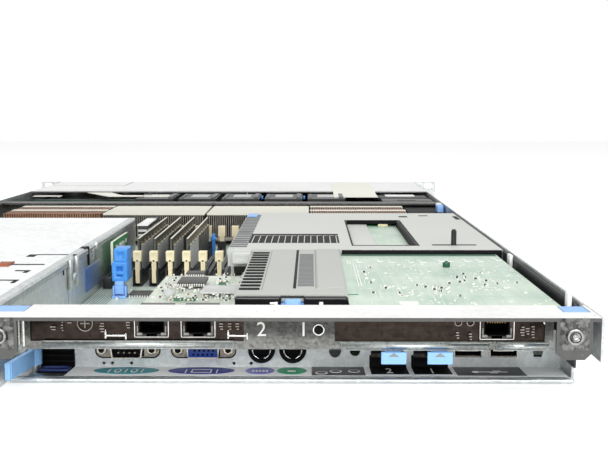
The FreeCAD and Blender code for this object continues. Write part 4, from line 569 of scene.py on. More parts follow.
def figure(text, place, height, thick=0.08, turn=math.pi / 2, stretch=1.0):
    """Printed figure as a thin mesh, on the rear face or, with no turn, lying flat."""
    alone()
    bpy.ops.object.text_add(location=at(*place), rotation=(turn, 0, 0))
    item = bpy.context.object
    item.data.body = text
    item.data.size = height / 1000 * 1.4
    item.data.extrude = thick / 1000
    item.data.align_x = "CENTER"
    bpy.ops.object.convert(target="MESH")
    bpy.context.object.scale = (1, stretch, 1)
    return settle()


numbers = [figure(text, (x, BRACKET - 0.05, 25.7), 6.8) for text, x in (("2", 66.2), ("1", 85.6))]
fit(merge("slot_numbers", numbers), white_print)


# Network jacks.
# Plated shields with a black insert: its mouth is lined in black, with gold contact wires
# over the top and two spring tongues at the sides.
gold = zinc_sheet("contact_gold", (0.55, 0.36, 0.10), (0.85, 0.62, 0.25), (0.2, 0.4))
openings = {entry["name"]: millimetres(entry["box_m"]) for entry in frame["record"]["physics"]["openings"]}
UPPER_ROW = 20.0
CONTACTS = 8
liners, wires, tongues, rims = [], [], [], []
for name, ((x0, y0, z0), (x1, y1, z1)) in openings.items():
    if "jack" not in name:
        continue
    y0 = y0 + 1.0
    shell = slab("liner", (x0 - 0.25, y0 + 0.35, z0 - 0.25), (x1 + 0.25, y1 + 0.3, z1 + 0.25), 0)
    liners.append(press(shell, "-y", (0.4, 0), (0.05, -12)))
    for k in range(CONTACTS):
        x = x0 + 1.6 + k * (x1 - x0 - 3.2) / (CONTACTS - 1)
        wires.append(slab("wire", (x - 0.22, y0 + 1.6, z1 - 1.9), (x + 0.22, y0 + 9.0, z1 - 1.4), 0.1, 1))
    if z0 < UPPER_ROW:
        front = slab("front", (x0 - 2.2, y0 - 0.2, z0 - 0.6), (x1 + 2.2, y0 + 0.1, z1 + 1.2), 0.1, 1)
        liners.append(press(front, "-y", (2.1, 0), (0.05, -0.2)))
        continue
    for x, leg in ((x0 - 1.2, x0 - 1.2), (x1 - 1.4, x1 + 0.5)):
        tongues.append(slab("tongue", (x, y0 - 0.3, z0 - 0.9), (x + 2.6, y0 + 0.05, z0 + 0.4), 0.12, 1))
        tongues.append(slab("tongue", (leg, y0 - 0.3, z0 + 0.4), (leg + 0.7, y0 + 0.05, z0 + 3.6), 0.12, 1))
    for left, right, top in ((x0 - 2.4, x1 + 2.4, z0 - 1.5), (x0 - 2.4, x0 - 1.95, z1 + 1.2),
                             (x1 + 1.95, x1 + 2.4, z1 + 1.2)):
        rims.append(slab("rim", (left, y0 - 0.35, z0 - 1.9), (right, y0 + 0.05, top), 0.1, 1))
fit(merge("jack_liners", liners), mouth_black)
fit(merge("jack_wires", wires), gold)
tongue_zinc = zinc_sheet("tongue_zinc", (0.16, 0.155, 0.15), (0.34, 0.33, 0.32), (0.2, 0.4))
fit(merge("jack_tongues", tongues), tongue_zinc)
fit(merge("jack_rims", rims), bright_zinc)


# Lower ports.
# Serial shell with pins, video socket with a blue insulator, brass-coloured nuts, black round
# sockets with a keyed middle, and two bus sockets.
BOARD = span("motherboard")[1][2]
PANEL = span("io_panel")[0][1]
PORT_Y = span("io_ports")[0][1]
low, high = openings["serial_shell"]
SERIAL_X = (low[0] + high[0]) / 2
PORT_Z = (low[2] + high[2]) / 2
VIDEO_X = SERIAL_X + 38.0
NUT_SIDE = 12.5
ROUND_Y, ROUND_Z = PANEL - 2.4, BOARD + 4.0
flange_metal = zinc_sheet("flange_metal", (0.16, 0.145, 0.12), (0.38, 0.35, 0.30), (0.2, 0.4))
nut_metal = zinc_sheet("nut_metal", (0.50, 0.46, 0.38), (0.82, 0.77, 0.66), (0.15, 0.35))
pin_metal = zinc_sheet("pin_metal", (0.30, 0.26, 0.18), (0.52, 0.46, 0.34), (0.2, 0.4))
video_blue = moulded("video_blue", hue("1F4FB4"), 0.8, 0.4)


def bent_rod(start, radius, sides, centre, axis, angle, steps):
    """Round rod that sweeps from its start about a centre."""
    alone()
    bpy.ops.mesh.primitive_circle_add(vertices=sides, radius=radius / 1000, location=at(*start))
    rod = settle()
    edit(rod)
    bpy.ops.mesh.select_mode(type="EDGE")
    bpy.ops.mesh.select_all(action="SELECT")
    bpy.ops.mesh.spin(steps=steps, angle=angle, center=at(*centre), axis=axis)
    bpy.ops.mesh.select_all(action="SELECT")
    bpy.ops.mesh.normals_make_consistent(inside=False)
    done()
    return rod


def port_plate(name, x, reach, near, far, below, above, edge, steps=1):
    """Upright plate in or round one of the two wide ports."""
    return slab(name, (x - reach, near, PORT_Z - below), (x + reach, far, PORT_Z + above), edge, steps)


def round_corners(plate, cut):
    """Round the four corners of an upright plate."""
    edit(plate)
    bpy.ops.mesh.select_mode(type="EDGE")
    bpy.ops.mesh.select_all(action="DESELECT")
    done()
    for line in plate.data.edges:
        one, two = [plate.data.vertices[k].co for k in line.vertices]
        line.select = abs(one.y - two.y) > 0.0001
    bpy.ops.object.mode_set(mode="EDIT")
    bpy.ops.mesh.bevel(offset=cut / 1000, segments=6, affect="EDGES", clamp_overlap=True)
    done()
    return plate


flanges, painted_shadows, beds = [], [], []
for x in (SERIAL_X, VIDEO_X):
    flange = port_plate("flange", x, 15.8, PANEL - 0.5, PANEL + 0.05, 4.3, 4.3, 0)
    flanges.append(round_corners(flange, 3.4))
    # Painted shadow: a black plate a little larger than each flange, laid round it on the panel.
    shade = port_plate("shade", x, 16.4, PANEL - 0.25, PANEL + 0.05, 5.0, 4.9, 0)
    painted_shadows.append(round_corners(shade, 3.8))
    beds.append(port_plate("bed", x, 8.2, PANEL - 0.9, PANEL - 0.4, 3.9, 3.9, 0.1))
fit(merge("port_flanges", flanges), flange_metal)
fit(merge("port_painted_shadows", painted_shadows), mouth_black)
fit(merge("port_beds", beds), mouth_black)
pins = []
for row, count in ((1.4, 5), (-1.4, 4)):
    for k in range(count):
        x = SERIAL_X + (k - (count - 1) / 2) * 2.75
        pins.append(peg("pin", "y", (x, PORT_Y + 0.7, PORT_Z + row), 0.5, 4.8, 0.15, 10))
fit(merge("serial_pins", pins), pin_metal)
bed = port_plate("serial_bed", SERIAL_X, 7.4, PORT_Y + 4.6, PORT_Y + 5.5, 3.5, 3.5, 0.2, 2)
fit(bed, mouth_black)
face = port_plate("video_face", VIDEO_X, 7.4, PORT_Y - 0.1, PORT_Y + 0.8, 3.5, 3.5, 0.25, 2)
fit(face, video_blue)
holes = []
for row in (-1, 0, 1):
    for k in range(5):
        x = VIDEO_X + (k - 2) * 2.3 + (0 if row else 0.6)
        holes.append(peg("hole", "y", (x, PORT_Y - 0.16, PORT_Z + row * 2.0), 0.6, 0.2, 0.05, 10))
fit(merge("video_holes", holes), mouth_black)
nuts, threads = [], []
for x in (SERIAL_X - NUT_SIDE, SERIAL_X + NUT_SIDE, VIDEO_X - NUT_SIDE, VIDEO_X + NUT_SIDE):
    nut = peg("nut", "y", (x, PORT_Y + 0.7, PORT_Z), 2.75, 4.6, 0.35, 6)
    nuts.append(press(nut, "-y", (1.0, 0), (0.1, -2.5)))
    threads.append(peg("thread", "y", (x, PORT_Y + 0.66, PORT_Z), 1.5, 0.5, 0.1, 18))
fit(merge("port_nuts", nuts), nut_metal)
fit(merge("nut_threads", threads), mouth_black)
rounds, arcs = [], []
for x in (VIDEO_X + 29.0, VIDEO_X + 44.6):
    cup = peg("round_port", "y", (x, ROUND_Y, ROUND_Z), 6.75, 2.6, 0.3, 40)
    rounds.append(press(cup, "-y", (1.4, 0), (0.1, -0.6), (1.2, 0), (0.1, 0.3)))
    key = slab("key", (x - 1.0, ROUND_Y + 0.1, ROUND_Z - 0.6), (x + 1.0, ROUND_Y + 1.0, ROUND_Z + 1.4), 0.2)
    rounds.append(key)
    centre = (x, ROUND_Y + 0.3, ROUND_Z)
    for side in (-1, 1):
        start = (x + side * 4.5, ROUND_Y + 0.3, ROUND_Z)
        arcs.append(bent_rod(start, 0.28, 8, centre, (0, 1, 0), -side * math.radians(75), 12))
fit(merge("round_ports", rounds), mouth_black)
fit(merge("round_arcs", arcs), bright_zinc)
mouths = []
for x in (VIDEO_X + 132.1, VIDEO_X + 149.8):
    mouth = slab("mouth", (x - 6.6, 63.3, BOARD + 0.2), (x + 6.6, 73.0, BOARD + 6.4), 0)
    mouths.append(press(mouth, "-y", (0.3, 0), (0.05, -8)))
    mouths.append(slab("tongue", (x - 5.2, 64.2, BOARD + 3.2), (x + 5.2, 72.0, BOARD + 4.9), 0.2))
fit(merge("bus_mouths", mouths), mouth_black)


# Printed strip on the rear floor.
# A pale label names the ports by colour: ovals in teal, navy, lavender and green, dark grey
# fields, and two black fields with numbers; it slopes from the tray's hem down to the floor.
FLOOR = 1.2
LABEL_REAR, LABEL_FRONT, HEM = 43.4, 63.9, 2.77
INK = HEM + 0.15
LEAN = math.atan((HEM - FLOOR - 0.32) / (LABEL_FRONT - LABEL_REAR))
JACK_FIELDS, FIELD_WIDE = (118.3, 139.2), 18.4
NOUGHTS = (-5.6, 2.4)
RINGS = ((94.2, 3.0), (101.2, 6.4), (110.2, 7.0))


def slabs(edge, steps, *boxes):
    """Blocks with the same rounding, each given by both corners in one row."""
    return [slab("block", box[:3], box[3:], edge, steps) for box in boxes]


def ink(name, finish, prints):
    """Join flat prints, tip them so that they lie from the hem down to the floor, and fit them."""
    piece = merge(name, prints)
    edit(piece)
    bpy.ops.transform.rotate(value=LEAN, orient_axis="X", center_override=at(0, LABEL_REAR, HEM))
    done()
    fit(piece, finish)


def oval(x0, x1, y0, y1, lift, thick=0.08):
    """Flat oval with a rounded rim, measured from the label's rear edge."""
    alone()
    middle = at((x0 + x1) / 2, LABEL_REAR + (y0 + y1) / 2, INK + lift + thick / 2)
    bpy.ops.mesh.primitive_cylinder_add(vertices=48, radius=0.5, depth=thick / 1000, location=middle)
    bpy.context.object.scale = ((x1 - x0) / 1000, (y1 - y0) / 1000, 1)
    return press(settle(), "+z", (0.2, 0.03))


def patch(x0, x1, y0, y1, lift=0.12, thick=0.08, edge=0.02):
    """Printed field or bar, measured from the label's rear edge."""
    z = INK + lift
    return slab("patch", (x0, LABEL_REAR + y0, z), (x1, LABEL_REAR + y1, z + thick), edge, 1)


paper_white = moulded("label_white", hue("FBFCFC"), 0.98, 0.55)
ink("label_strip", paper_white, slabs(0.05, 1, (-29.4, LABEL_REAR, HEM, 212.0, LABEL_FRONT, INK)))
filler = slab("label_filler", (-29.2, 49.0, FLOOR), (211.8, LABEL_FRONT - 0.4, FLOOR + 0.3), 0.1, 1)
fit(filler, paper_white)
inks = {}
for name, tone, x0, x1 in (("teal", "238F9C", -17.7, 14.4), ("navy", "16248C", 18.9, 51.5),
                           ("lavender", "8285CE", 56.9, 71.2), ("green", "1FA06E", 72.2, 87.0)):
    inks[name] = moulded("ink_" + name, hue(tone), 0.95, 0.5)
    ink("label_" + name, inks[name], [oval(x0, x1, 3.2, 18.9, 0, 0.12)])
grey_ink = moulded("ink_grey", hue("323437"), 0.92, 0.5)
fields = [patch(x0, x1, 0.9, 20.4, 0, 0.1, 0.03) for x0, x1 in ((89.4, 115.4), (159.6, 193.0))]
ink("label_fields", grey_ink, fields)
ink("label_boxes", mouth_black, [patch(x, x + FIELD_WIDE, 3.8, 20.5, 0, 0.12, 0.03) for x in JACK_FIELDS])
pale_field = moulded("ink_pale", hue("E6E9EA"), 0.95, 0.55)
ink("label_end", pale_field, [patch(193.0, 211.6, 0.9, 20.4, 0, 0.08, 0.03)])
marks = [figure(text, (x, LABEL_REAR + 6.0, INK + 0.17), 5.2, 0.04, 0, 2.1)
         for text, x in (("2", 127.4), ("1", 148.4))]
ink("label_marks", white_print, marks)
marks = [patch(x - 0.3, x + 0.3, 6.0, 14.0) for x in (-9.8, -1.6, 6.4)]
marks.extend(patch(x, x + 0.6, 5.4, 13.4) for x in (27.6, 42.8))
marks.extend(patch(*sides) for sides in ((30.5, 40.5, 6.0, 6.9), (30.5, 40.5, 12.4, 13.3),
                                         (30.5, 31.1, 6.0, 13.3), (39.9, 40.5, 6.0, 13.3)))
marks.extend(patch(60.2 + k * 1.7, 61.3 + k * 1.7, 8.4, 12.4) for k in range(5))
marks.append(patch(77.6, 81.6, 8.0, 12.0))
marks.extend(oval(x - 1.7, x + 1.7, 6.0, 14.0, 0.12) for x in NOUGHTS)
marks.extend(oval(x - 3.0, x + 3.0, y, y + 6.4, 0.1) for x, y in RINGS)
marks.extend(patch(*sides) for sides in ((170.0, 185.0, 8.4, 9.4), (176.0, 180.0, 6.4, 7.4),
                                         (178.0, 182.0, 10.4, 11.4)))
marks.append(oval(167.6, 171.2, 7.0, 10.8, 0.1))
ink("label_signs", white_print, marks)
ink("label_noughts", inks["teal"], [oval(x - 1.1, x + 1.1, 7.2, 12.8, 0.2) for x in NOUGHTS])
ink("label_rings", grey_ink, [oval(x - 2.3, x + 2.3, y + 0.9, y + 5.5, 0.17) for x, y in RINGS])


# Recess behind the release lever.
# A black louvred block stands at the left end of the lower panel, over a small blue plate whose
# dark blue is painted shade, and a narrow zinc strip closes the panel's end.
slats = [slab("recess", (-46.5, 64.0, FLOOR), (-29.3, 66.0, 19.6), 0.3)]
for k in range(5):
    slats.append(slab("slat", (-46.3, 62.2, 4.0 + k * 3.1), (-29.4, 64.2, 5.5 + k * 3.1), 0.3))
slats.append(slab("bed", (-46.5, 46.4, FLOOR), (-29.5, 64.2, FLOOR + 0.3), 0.1, 1))
fit(merge("recess_slats", slats), mouth_black)
# Painted shade: the plate's blue is darkened as if it lay in shadow.
shadow_blue = moulded("shadow_blue", hue("2B3F7C"), 0.8, 0.5)
plate = slab("lever_plate", (-45.0, 55.5, FLOOR + 0.2), (-30.6, 62.0, FLOOR + 1.2), 0.3)
fit(press(plate, "+z", (1.2, 0), (0.2, -0.5), limit=0.9), shadow_blue)
end = slab("panel_end", (-29.3, PANEL, FLOOR), (-24.9, PANEL + 1.2, 20.6), 0.1, 1)
fit(press(end, "-y", (0.6, 0), (0.2, -0.1)), panel_zinc)


# Riser cover trim.
# A glossy black rail closes its near end, held by two white spring clips; a long groove and a
# ribbed dark strip run along its top.
(left, near, _), (right, far, top) = span("riser_cover")
gloss_black = moulded("gloss_black", hue("1B1B1D"), 0.8, 0.16)
rail = slabs(1.4, 5, (left - 0.1, near - 3.2, top - 8.6, 74.6, near - 0.05, top - 0.9),
             (85.4, near - 3.2, top - 8.6, right + 0.1, near - 0.05, top - 0.9))
rail.append(slab("bridge", (74.0, near - 1.0, top - 1.9), (86.0, near - 0.05, top - 0.9), 0.3, 3))
fit(merge("cover_rail", rail), gloss_black)
clips = []
for x in (71.0, 93.0):
    clips.append(slab("clip", (x, near - 4.6, top - 10.6), (x + 2.0, near - 3.0, top - 3.4), 0.3))
    clips.append(slab("clip", (x - 0.8, near - 5.4, top - 10.6), (x + 2.8, near - 3.0, top - 9.2), 0.3))
fit(merge("cover_clips", clips), white_cap)
groove = slab("cover_groove", (79.9, near + 16.2, top - 0.6), (81.5, far - 2.2, top - 0.45), 0.05, 1)
fit(groove, mouth_black)
dark_grey = moulded("dark_grey", hue("6C6F70"), 0.9, 0.5)
ribs = []
for k in range(26):
    y = near + 22 + k * 4.2
    ribs.append(slab("rib", (82.2, y, top - 0.5), (90.6, y + 2.6, top - 0.32), 0.05, 1))
fit(merge("cover_ribs", ribs), dark_grey)
grey_print = moulded("grey_print", hue("8A8C8C"), 0.9, 0.6)
lines = slabs(0.03, 1, (91.4, near + 16.4, top - 0.5, 91.9, far - 1.0, top - 0.36),
              (left + 12.2, near + 12, top - 0.55, left + 12.6, far - 6, top - 0.42))
fit(merge("cover_lines", lines), grey_print)
slots = []
for k in range(14):
    y = near + 12 + k * 9.2
    slots.append(slab("slot", (left + 1.9, y + 0.1, top - 2.4), (left + 10.3, y + 3.5, top - 1.2), 0.1, 1))
    slots.append(slab("slot", (left + 0.9, y + 0.2, top - 0.4), (left + 11.2, y + 3.4, top + 0.05), 0.02, 1))
fit(merge("cover_slots", slots), mouth_black)


# Air shroud trim.
# Black plastic closes its near end and lines the window; inside the window stand a grey
# partition and a beige connector on a small card; the top has slots, ribs and slanted gills.
(left, near, _), (right, far, top) = span("air_shroud")
(wx0, wy0, _), (wx1, wy1, _) = openings["shroud_window"]
GILL_PITCH = 4.45


def shift(piece, facing, move, limit=0.99):
    """Move the faces that look one way by millimetres."""
    edit(piece, facing, limit)
    bpy.ops.transform.translate(value=Vector(move) / 1000)
    done()
    return piece


end = slab("shroud_near", (109.0, near - 0.9, top - 10.6), (right - 0.4, near - 0.05, top - 0.3), 0.3)
fit(end, mouth_black)
side = slab("shroud_side", (right + 0.05, 36.0, 9.0), (right + 1.35, far - 8, 39.4), 0.3)
fit(side, black_part)
trim = slabs(0.1, 1, (wx0 - 1.4, wy0 - 2.0, top, wx0 - 0.4, wy1 + 2.0, top + 0.2),
             (wx1 + 0.4, wy0 - 2.0, top, wx1 + 1.6, wy1 + 2.0, top + 0.2),
             (wx0 - 1.4, wy0 - 2.4, top, wx1 + 1.6, wy0 - 0.6, top + 0.2),
             (wx0 - 1.4, wy1 + 0.6, top, wx1 + 1.6, wy1 + 2.4, top + 0.2),
             (wx1 - 1.8, wy0 + 0.6, 26.0, wx1 - 0.1, wy1 - 0.6, top - 0.2))
fit(merge("window_trim", trim), mouth_black)
wall = slab("window_partition", (wx0 + 0.6, wy0 + 0.6, top - 4.6), (wx0 + 16.4, wy1 - 0.6, top - 3.0), 0.4)
fit(wall, grey_shell)
lip = slab("window_lip", (wx0 + 0.2, wy1 - 0.4, top - 2.6), (wx1 - 0.2, wy1 - 0.05, top + 0.1), 0.1, 1)
fit(lip, mouth_black)
deck = slab("window_card", (wx0 + 15.0, wy0 + 1.0, 33.6), (wx1 - 0.3, wy1 + 14.0, 35.2), 0.2, 1)
fit(press(deck, "+z", (1.2, 0), (0.2, -0.1)), mint)
stands = [peg("stand", "z", (x, y, 25.4), 1.6, 8.4, 0.2, 16)
          for x in (wx0 + 18.0, wx1 - 4.0) for y in (wy0 + 6.0, wy1 - 6.0)]
fit(merge("window_stands", stands), bright_zinc)
back = slab("window_back", (wx0 + 15.0, wy1 + 14.0, 33.0), (wx1, wy1 + 15.4, top - 1.3), 0.2, 1)
fit(back, black_part)
leaf = laminate("card_leaf", hue("2C8A4E"), hue("58B97C"), hue("3F9A63"), marks=0.2)
sheet = slab("window_tag", (wx1 - 26.0, wy1 + 3.0, 35.1), (wx1 - 8.0, wy1 + 13.0, 35.35), 0.05, 1)
fit(sheet, leaf)
plug = slab("window_plug", (143.4, wy1 + 1.0, 35.1), (151.4, wy1 + 7.0, 38.5), 0.4)
fit(press(plug, "+z", (1.2, 0), (0.1, -1.5), limit=0.9), ivory)
holes = slabs(0.02, 1, (162.6, 388.0, top - 0.05, 169.8, 396.5, top + 0.06),
              (180.0, 397.0, top - 0.05, 187.6, 402.0, top + 0.06),
              (207.6, 372.0, top - 0.05, 211.4, 396.0, top + 0.06))
fit(merge("shroud_holes", holes), mouth_black)
ribs = []
for k in range(20):
    y = near + 10 + k * 9.6
    ribs.append(slab("rib", (left + 0.4, y, top), (left + 11.6, y + 5.4, top + 0.35), 0.12, 1))
fit(merge("shroud_ribs", ribs), dark_grey)
clip = slab("shroud_clip", (left + 0.5, far - 34, top + 0.3), (left + 9.0, far - 16, top + 1.4), 0.4)
fit(clip, light_blue)
field = slab("gill_field", (46.6, near + 29.6, top - 0.3), (108.4, near + 76.4, top + 0.04), 0.02, 1)
fit(field, mouth_black)
gills = []
for k in range(14):
    x = 48.6 + k * GILL_PITCH
    gill = slab("gill", (x, near + 30.4, top - 0.2), (x + 0.6, near + 66.0, top + 0.3), 0.1, 1)
    gills.append(shift(gill, "+y", (3.4, 0, 0)))
fit(merge("shroud_gills", gills), grey_shell)
cross = slab("post_cross", (169.6, near + 19.2, top), (199.0, near + 22.8, top + 0.15), 0.05, 1)
fit(cross, mouth_black)


# Memory latches.
# Ivory nylon levers at the ends of the sockets: a broad head that narrows to a grooved stem,
# with a small round eye under the head.
def taper(piece, facing, share):
    """Shrink the faces that look one way, with the rounding round them."""
    edit(piece, facing, 0.9)
    bpy.ops.transform.resize(value=share)
    done()
    return piece


def copy(piece, x=0.0, y=0.0, z=0.0, turn=0.0, name=None):
    """Copy with its own mesh, moved by millimetres and turned about its middle."""
    twin = piece.copy()
    twin.data = piece.data.copy()
    bpy.context.scene.collection.objects.link(twin)
    alone(twin)
    if turn:
        bpy.ops.object.origin_set(type="ORIGIN_GEOMETRY", center="BOUNDS")
        twin.rotation_euler = (0, 0, turn)
    twin.location = twin.location + Vector((x, y, z)) / 1000
    settle()
    if name:
        twin.name = name
    return twin


def lever_latch(x, near, high):
    """Latch with its head towards the rear."""
    head = slab("latch", (x - 2.9, near, high - 7.4), (x + 2.9, near + 5.2, high), 0.5, 3)
    taper(head, "-z", (0.62, 1, 1))
    press(head, "-y", (0.6, 0), (0.3, -0.3))
    stem = slab("stem", (x - 1.6, near + 0.6, 8.8), (x + 1.6, near + 4.8, high - 6.9), 0.4, 2)
    press(stem, "-y", (0.6, 0), (0.2, -0.5))
    rib = slab("rib", (x - 0.35, near + 0.7, 10.0), (x + 0.35, near + 1.5, high - 8.6), 0.15, 1)
    return merge("latch", [head, stem, rib])


low, high = span("dimm_latch_1")
first = lever_latch((low[0] + high[0]) / 2, low[1], high[2])
spot = peg("eye", "y", ((low[0] + high[0]) / 2, low[1] - 0.05, high[2] - 6.6), 0.6, 0.5, 0.1, 16)
for k in range(1, 7):
    node = "dimm_latch_%d" % k
    step = span(node)[0][0] - low[0]
    fit(copy(first, step, name="memory_latch_%d" % k), ivory, node, [node])
    fit(copy(spot, step, name="latch_eye_%d" % k), mouth_black, node)
bpy.data.objects.remove(first)
bpy.data.objects.remove(spot)


# Memory modules.
# Dark boards with black chips on one side; the sawn top edge is pale, and each carries a grey
# paper label near its end and a row of small parts.
MODULE_X, MODULE_PITCH = -32.0, 11.43
module = laminate("module_board", hue("CFCDB8"), hue("EFECD9"), hue("4C4D46"), marks=0.2)
dress(module, "memory_modules")
label_grey = moulded("label_grey", hue("CDCFCD"), 0.9, 0.6)
labels, dots = [], []
for k in range(4):
    x = MODULE_X + MODULE_PITCH * k
    labels.append(slab("label", (x + 1.55, 262.5, 16.0), (x + 1.72, 312.0, 33.5), 0.04, 1))
    for row in range(9):
        y = 268 + row * 13.4
        dots.append(slab("part", (x + 0.55, y, 34.6), (x + 1.0, y + 3, 36.2), 0.1, 1))
fit(merge("module_labels", labels), label_grey)
tan_part = moulded("tan_part", hue("B59A72"), 0.8, 0.5)
fit(merge("module_parts", dots), tan_part)


# Blue card retainer.
# Moulded in three steps: a top block with a grip, a recessed body, and a paler ribbed foot that
# turns on the pin between the cheeks.
(left, near, foot), (right, far, top) = span("card_retainer")
deep_blue = moulded("deep_blue", hue("4A9CF2"), 0.85, 0.38)
block = slab("top", (left - 0.2, near + 1.0, top - 8.6), (right + 2.4, far - 2.0, top + 0.4), 0.9, 3)
press(block, "-y", (1.4, 0), (0.4, -1.2))
waist = slab("waist", (left - 1.6, near + 0.6, 17.6), (right + 2.2, far - 1.0, top - 8.4), 0.7, 3)
press(waist, "-y", (2.2, 0), (0.3, -3.0))
bar = slab("bar", (left + 0.6, near + 0.2, 22.2), (right + 0.2, near + 3.0, 24.4), 0.4, 2)
fit(merge("retainer_body", [block, waist, bar]), deep_blue, "card_retainer", ["card_retainer"])
ribs = [slab("foot", (left + 0.2, near, foot), (right - 0.2, near + 5.6, 17.9), 0.7, 3)]
for k in range(3):
    z = 10.6 + k * 2.2
    ribs.append(slab("rib", (left + 1.0, near - 0.35, z), (right - 1.0, near + 0.4, z + 1.0), 0.2, 2))
fit(merge("retainer_foot", ribs), light_blue, "card_retainer")


# Daughter card and regulator block.
# The upright card has a pale sawn edge, tinned pads and a few parts, in a dark socket; pale blue
# cheeks hold the retainer's pin. The regulator is a louvred box under a white paper top.
(left, _, foot), (_, far, _) = span("daughter_card")
CARD_X = left + 2.2
edge_pale = moulded("edge_pale", hue("E3EAD2"), 0.92, 0.5)
card = slab("upright_card", (CARD_X, 262.0, 9.5), (CARD_X + 1.5, 316.0, 36.6), 0.15, 1)
fit(press(card, "+x", (1.2, 0), (0.2, -0.1)), leaf, stands_for=["daughter_card"])
strips = slabs(0.1, 1, (CARD_X - 0.1, 261.8, 36.4, CARD_X + 1.6, 316.0, 36.8),
               (CARD_X - 0.1, 261.5, 20.0, CARD_X + 1.6, 262.2, 36.7))
fit(merge("card_edges", strips), edge_pale)
holder = slab("card_socket", (left, 243.0, foot), (left + 6.0, far, foot + 8.0), 0.4, 2)
fit(press(holder, "+z", (1.6, 0), (0.2, -1.2)), black_part)
cheeks = [slab("cheek", (x, 211.6, foot), (x + 1.2, 217.4, 14.6), 0.4, 2) for x in (-40.9, -33.1)]
cheeks.append(slab("cheek", (-40.9, 209.2, foot), (-31.9, 220.6, foot + 1.4), 0.3, 2))
cheeks.append(peg("pin", "x", (-41.2, 215.0, 11.8), 1.2, 9.6, 0.2, 16))
fit(merge("retainer_cheeks", cheeks), light_blue)
bits = []
for k in range(8):
    y = 266 + k * 5.6
    z = 22.0 + (k * 5 % 3) * 4.2
    bits.append(slab("bit", (CARD_X + 1.4, y, z), (CARD_X + 2.5, y + 3.0, z + 2.6), 0.2, 1))
bits.append(slab("bit", (CARD_X + 1.4, 284.0, 24.0), (CARD_X + 3.2, 296.0, 33.0), 0.3, 2))
fit(merge("card_bits", bits), label_grey)
(left, near, _), (right, far, top) = span("regulator_block")
louvre = moulded("louvre_grey", hue("3E3F3D"), 0.8, 0.5)
dress(louvre, "regulator_block")
slats = []
for k in range(7):
    z = 12.0 + k * 3.7
    slats.append(slab("slat", (left + 0.4, near - 0.5, z), (right - 0.4, near + 0.1, z + 2.0), 0.25, 2))
    slats.append(slab("slat", (right - 0.1, near + 1.0, z), (right + 0.4, far - 1.0, z + 2.0), 0.25, 2))
fit(merge("regulator_slats", slats), label_grey)
cap = slab("regulator_cap", (left - 0.2, near - 0.2, top - 0.9), (right + 0.2, far - 12, top + 0.25), 0.3, 2)
fit(press(cap, "+z", (0.6, 0), (0.2, -0.2), limit=0.9), white_cap)


# Power bay trim.
# The cover's edge is rolled over and polished; a bent steel loop and a spring tab hold it, in
# narrow slits, and black rubber-edged slots show on its top.
_, (WALL, far, top) = span("psu_cage")
satin = zinc_sheet("satin_zinc", (0.44, 0.47, 0.47), (0.66, 0.69, 0.69), (0.34, 0.5), (1, 0.05, 1),
                   metal=0.7)
roll = slab("cage_roll", (WALL - 6.0, 29.0, top - 5.6), (WALL + 0.9, far - 0.4, top + 0.4), 2.6, 6)
fit(press(roll, "+x", (0.1, 0), (0.1, -0.1)), satin)
LOOP_X, LOOP_Z, LOOP_R = WALL + 2.0, 22.0, 1.6
LOOP_Y = (161.0, 176.0)
loop = [peg("leg", "z", (LOOP_X, y, LOOP_Z), LOOP_R, top - LOOP_Z + 0.4, 0.3, 16) for y in LOOP_Y]
start, centre = (LOOP_X, LOOP_Y[0], LOOP_Z), (LOOP_X, sum(LOOP_Y) / 2, LOOP_Z)
loop.append(bent_rod(start, LOOP_R, 16, centre, (1, 0, 0), math.pi, 16))
soften()
loop.append(slab("tab", (WALL + 0.2, 225.5, 28.6), (WALL + 1.0, 234.5, 37.4), 0.3, 2))
loop.append(slab("tab", (WALL + 0.2, 233.0, 36.0), (WALL + 2.2, 236.0, top + 0.6), 0.4, 2))
fit(merge("cage_loop", loop), satin)
slits = [slab("slit", (WALL + x0, y0, top), (WALL + x1, y1, top + 0.2), 0.06, 1)
         for x0, x1, y0, y1 in ((-24.0, -1.0, 181.6, 183.4), (-28.5, -23.5, 174.0, 182.6),
                                (-33.0, -9.0, 143.6, 146.0), (-19.5, -13.0, 122.4, 124.8),
                                (-13.4, -11.0, 117.0, 124.8), (-22.0, -10.0, 93.0, 95.2),
                                (-10.6, -8.4, 86.0, 95.2))]
slits.extend(slabs(0.06, 1, (WALL - 0.9, 178.6, 30.0, WALL + 1.0, 180.4, top + 0.7),
                   (WALL - 0.9, 212.4, 28.4, WALL + 1.0, 214.6, top + 0.7),
                   (WALL - 3.6, 207.0, top, WALL + 0.6, 214.4, top + 0.65)))
slits.extend(slabs(0.04, 1, (WALL + 0.05, 148.0, 36.0, WALL + 0.5, 155.0, 37.0),
                   (WALL + 0.05, 150.8, 32.6, WALL + 0.5, 152.2, 36.2)))
fit(merge("cage_slits", slits), mouth_black)
# Painted reflection: a thin plate on the bay's wall is blue near the rear and fades to grey further forward.
blue_reflection = Finish("painted_blue_reflection")
reflection_fade = blue_reflection.level(blue_reflection.spot("Y") + blue_reflection.grain(40.0) * 0.01, REAR + 0.206, REAR + 0.252)
blue_reflection.set(colour=blue_reflection.mix(reflection_fade, hue("5F8CD8"), hue("9FB0C6")), metal=0.6)
blue_reflection.set(rough=blue_reflection.level(blue_reflection.grain(200.0), 0.3, 0.7, 0.3, 0.45))
fit(slab("cage_blue_reflection", (WALL + 0.1, 205.0, 11.5), (WALL + 0.6, 247.0, 27.0), 0.4, 3), blue_reflection)
rust = moulded("brown_wedge", hue("A4562C"), 0.7, 0.5)
wedge = slab("cage_wedge", (WALL - 36.0, 138.0, top), (WALL - 28.0, 151.0, top + 1.2), 0.4, 2)
fit(taper(wedge, "+z", (0.3, 0.6, 1)), rust)


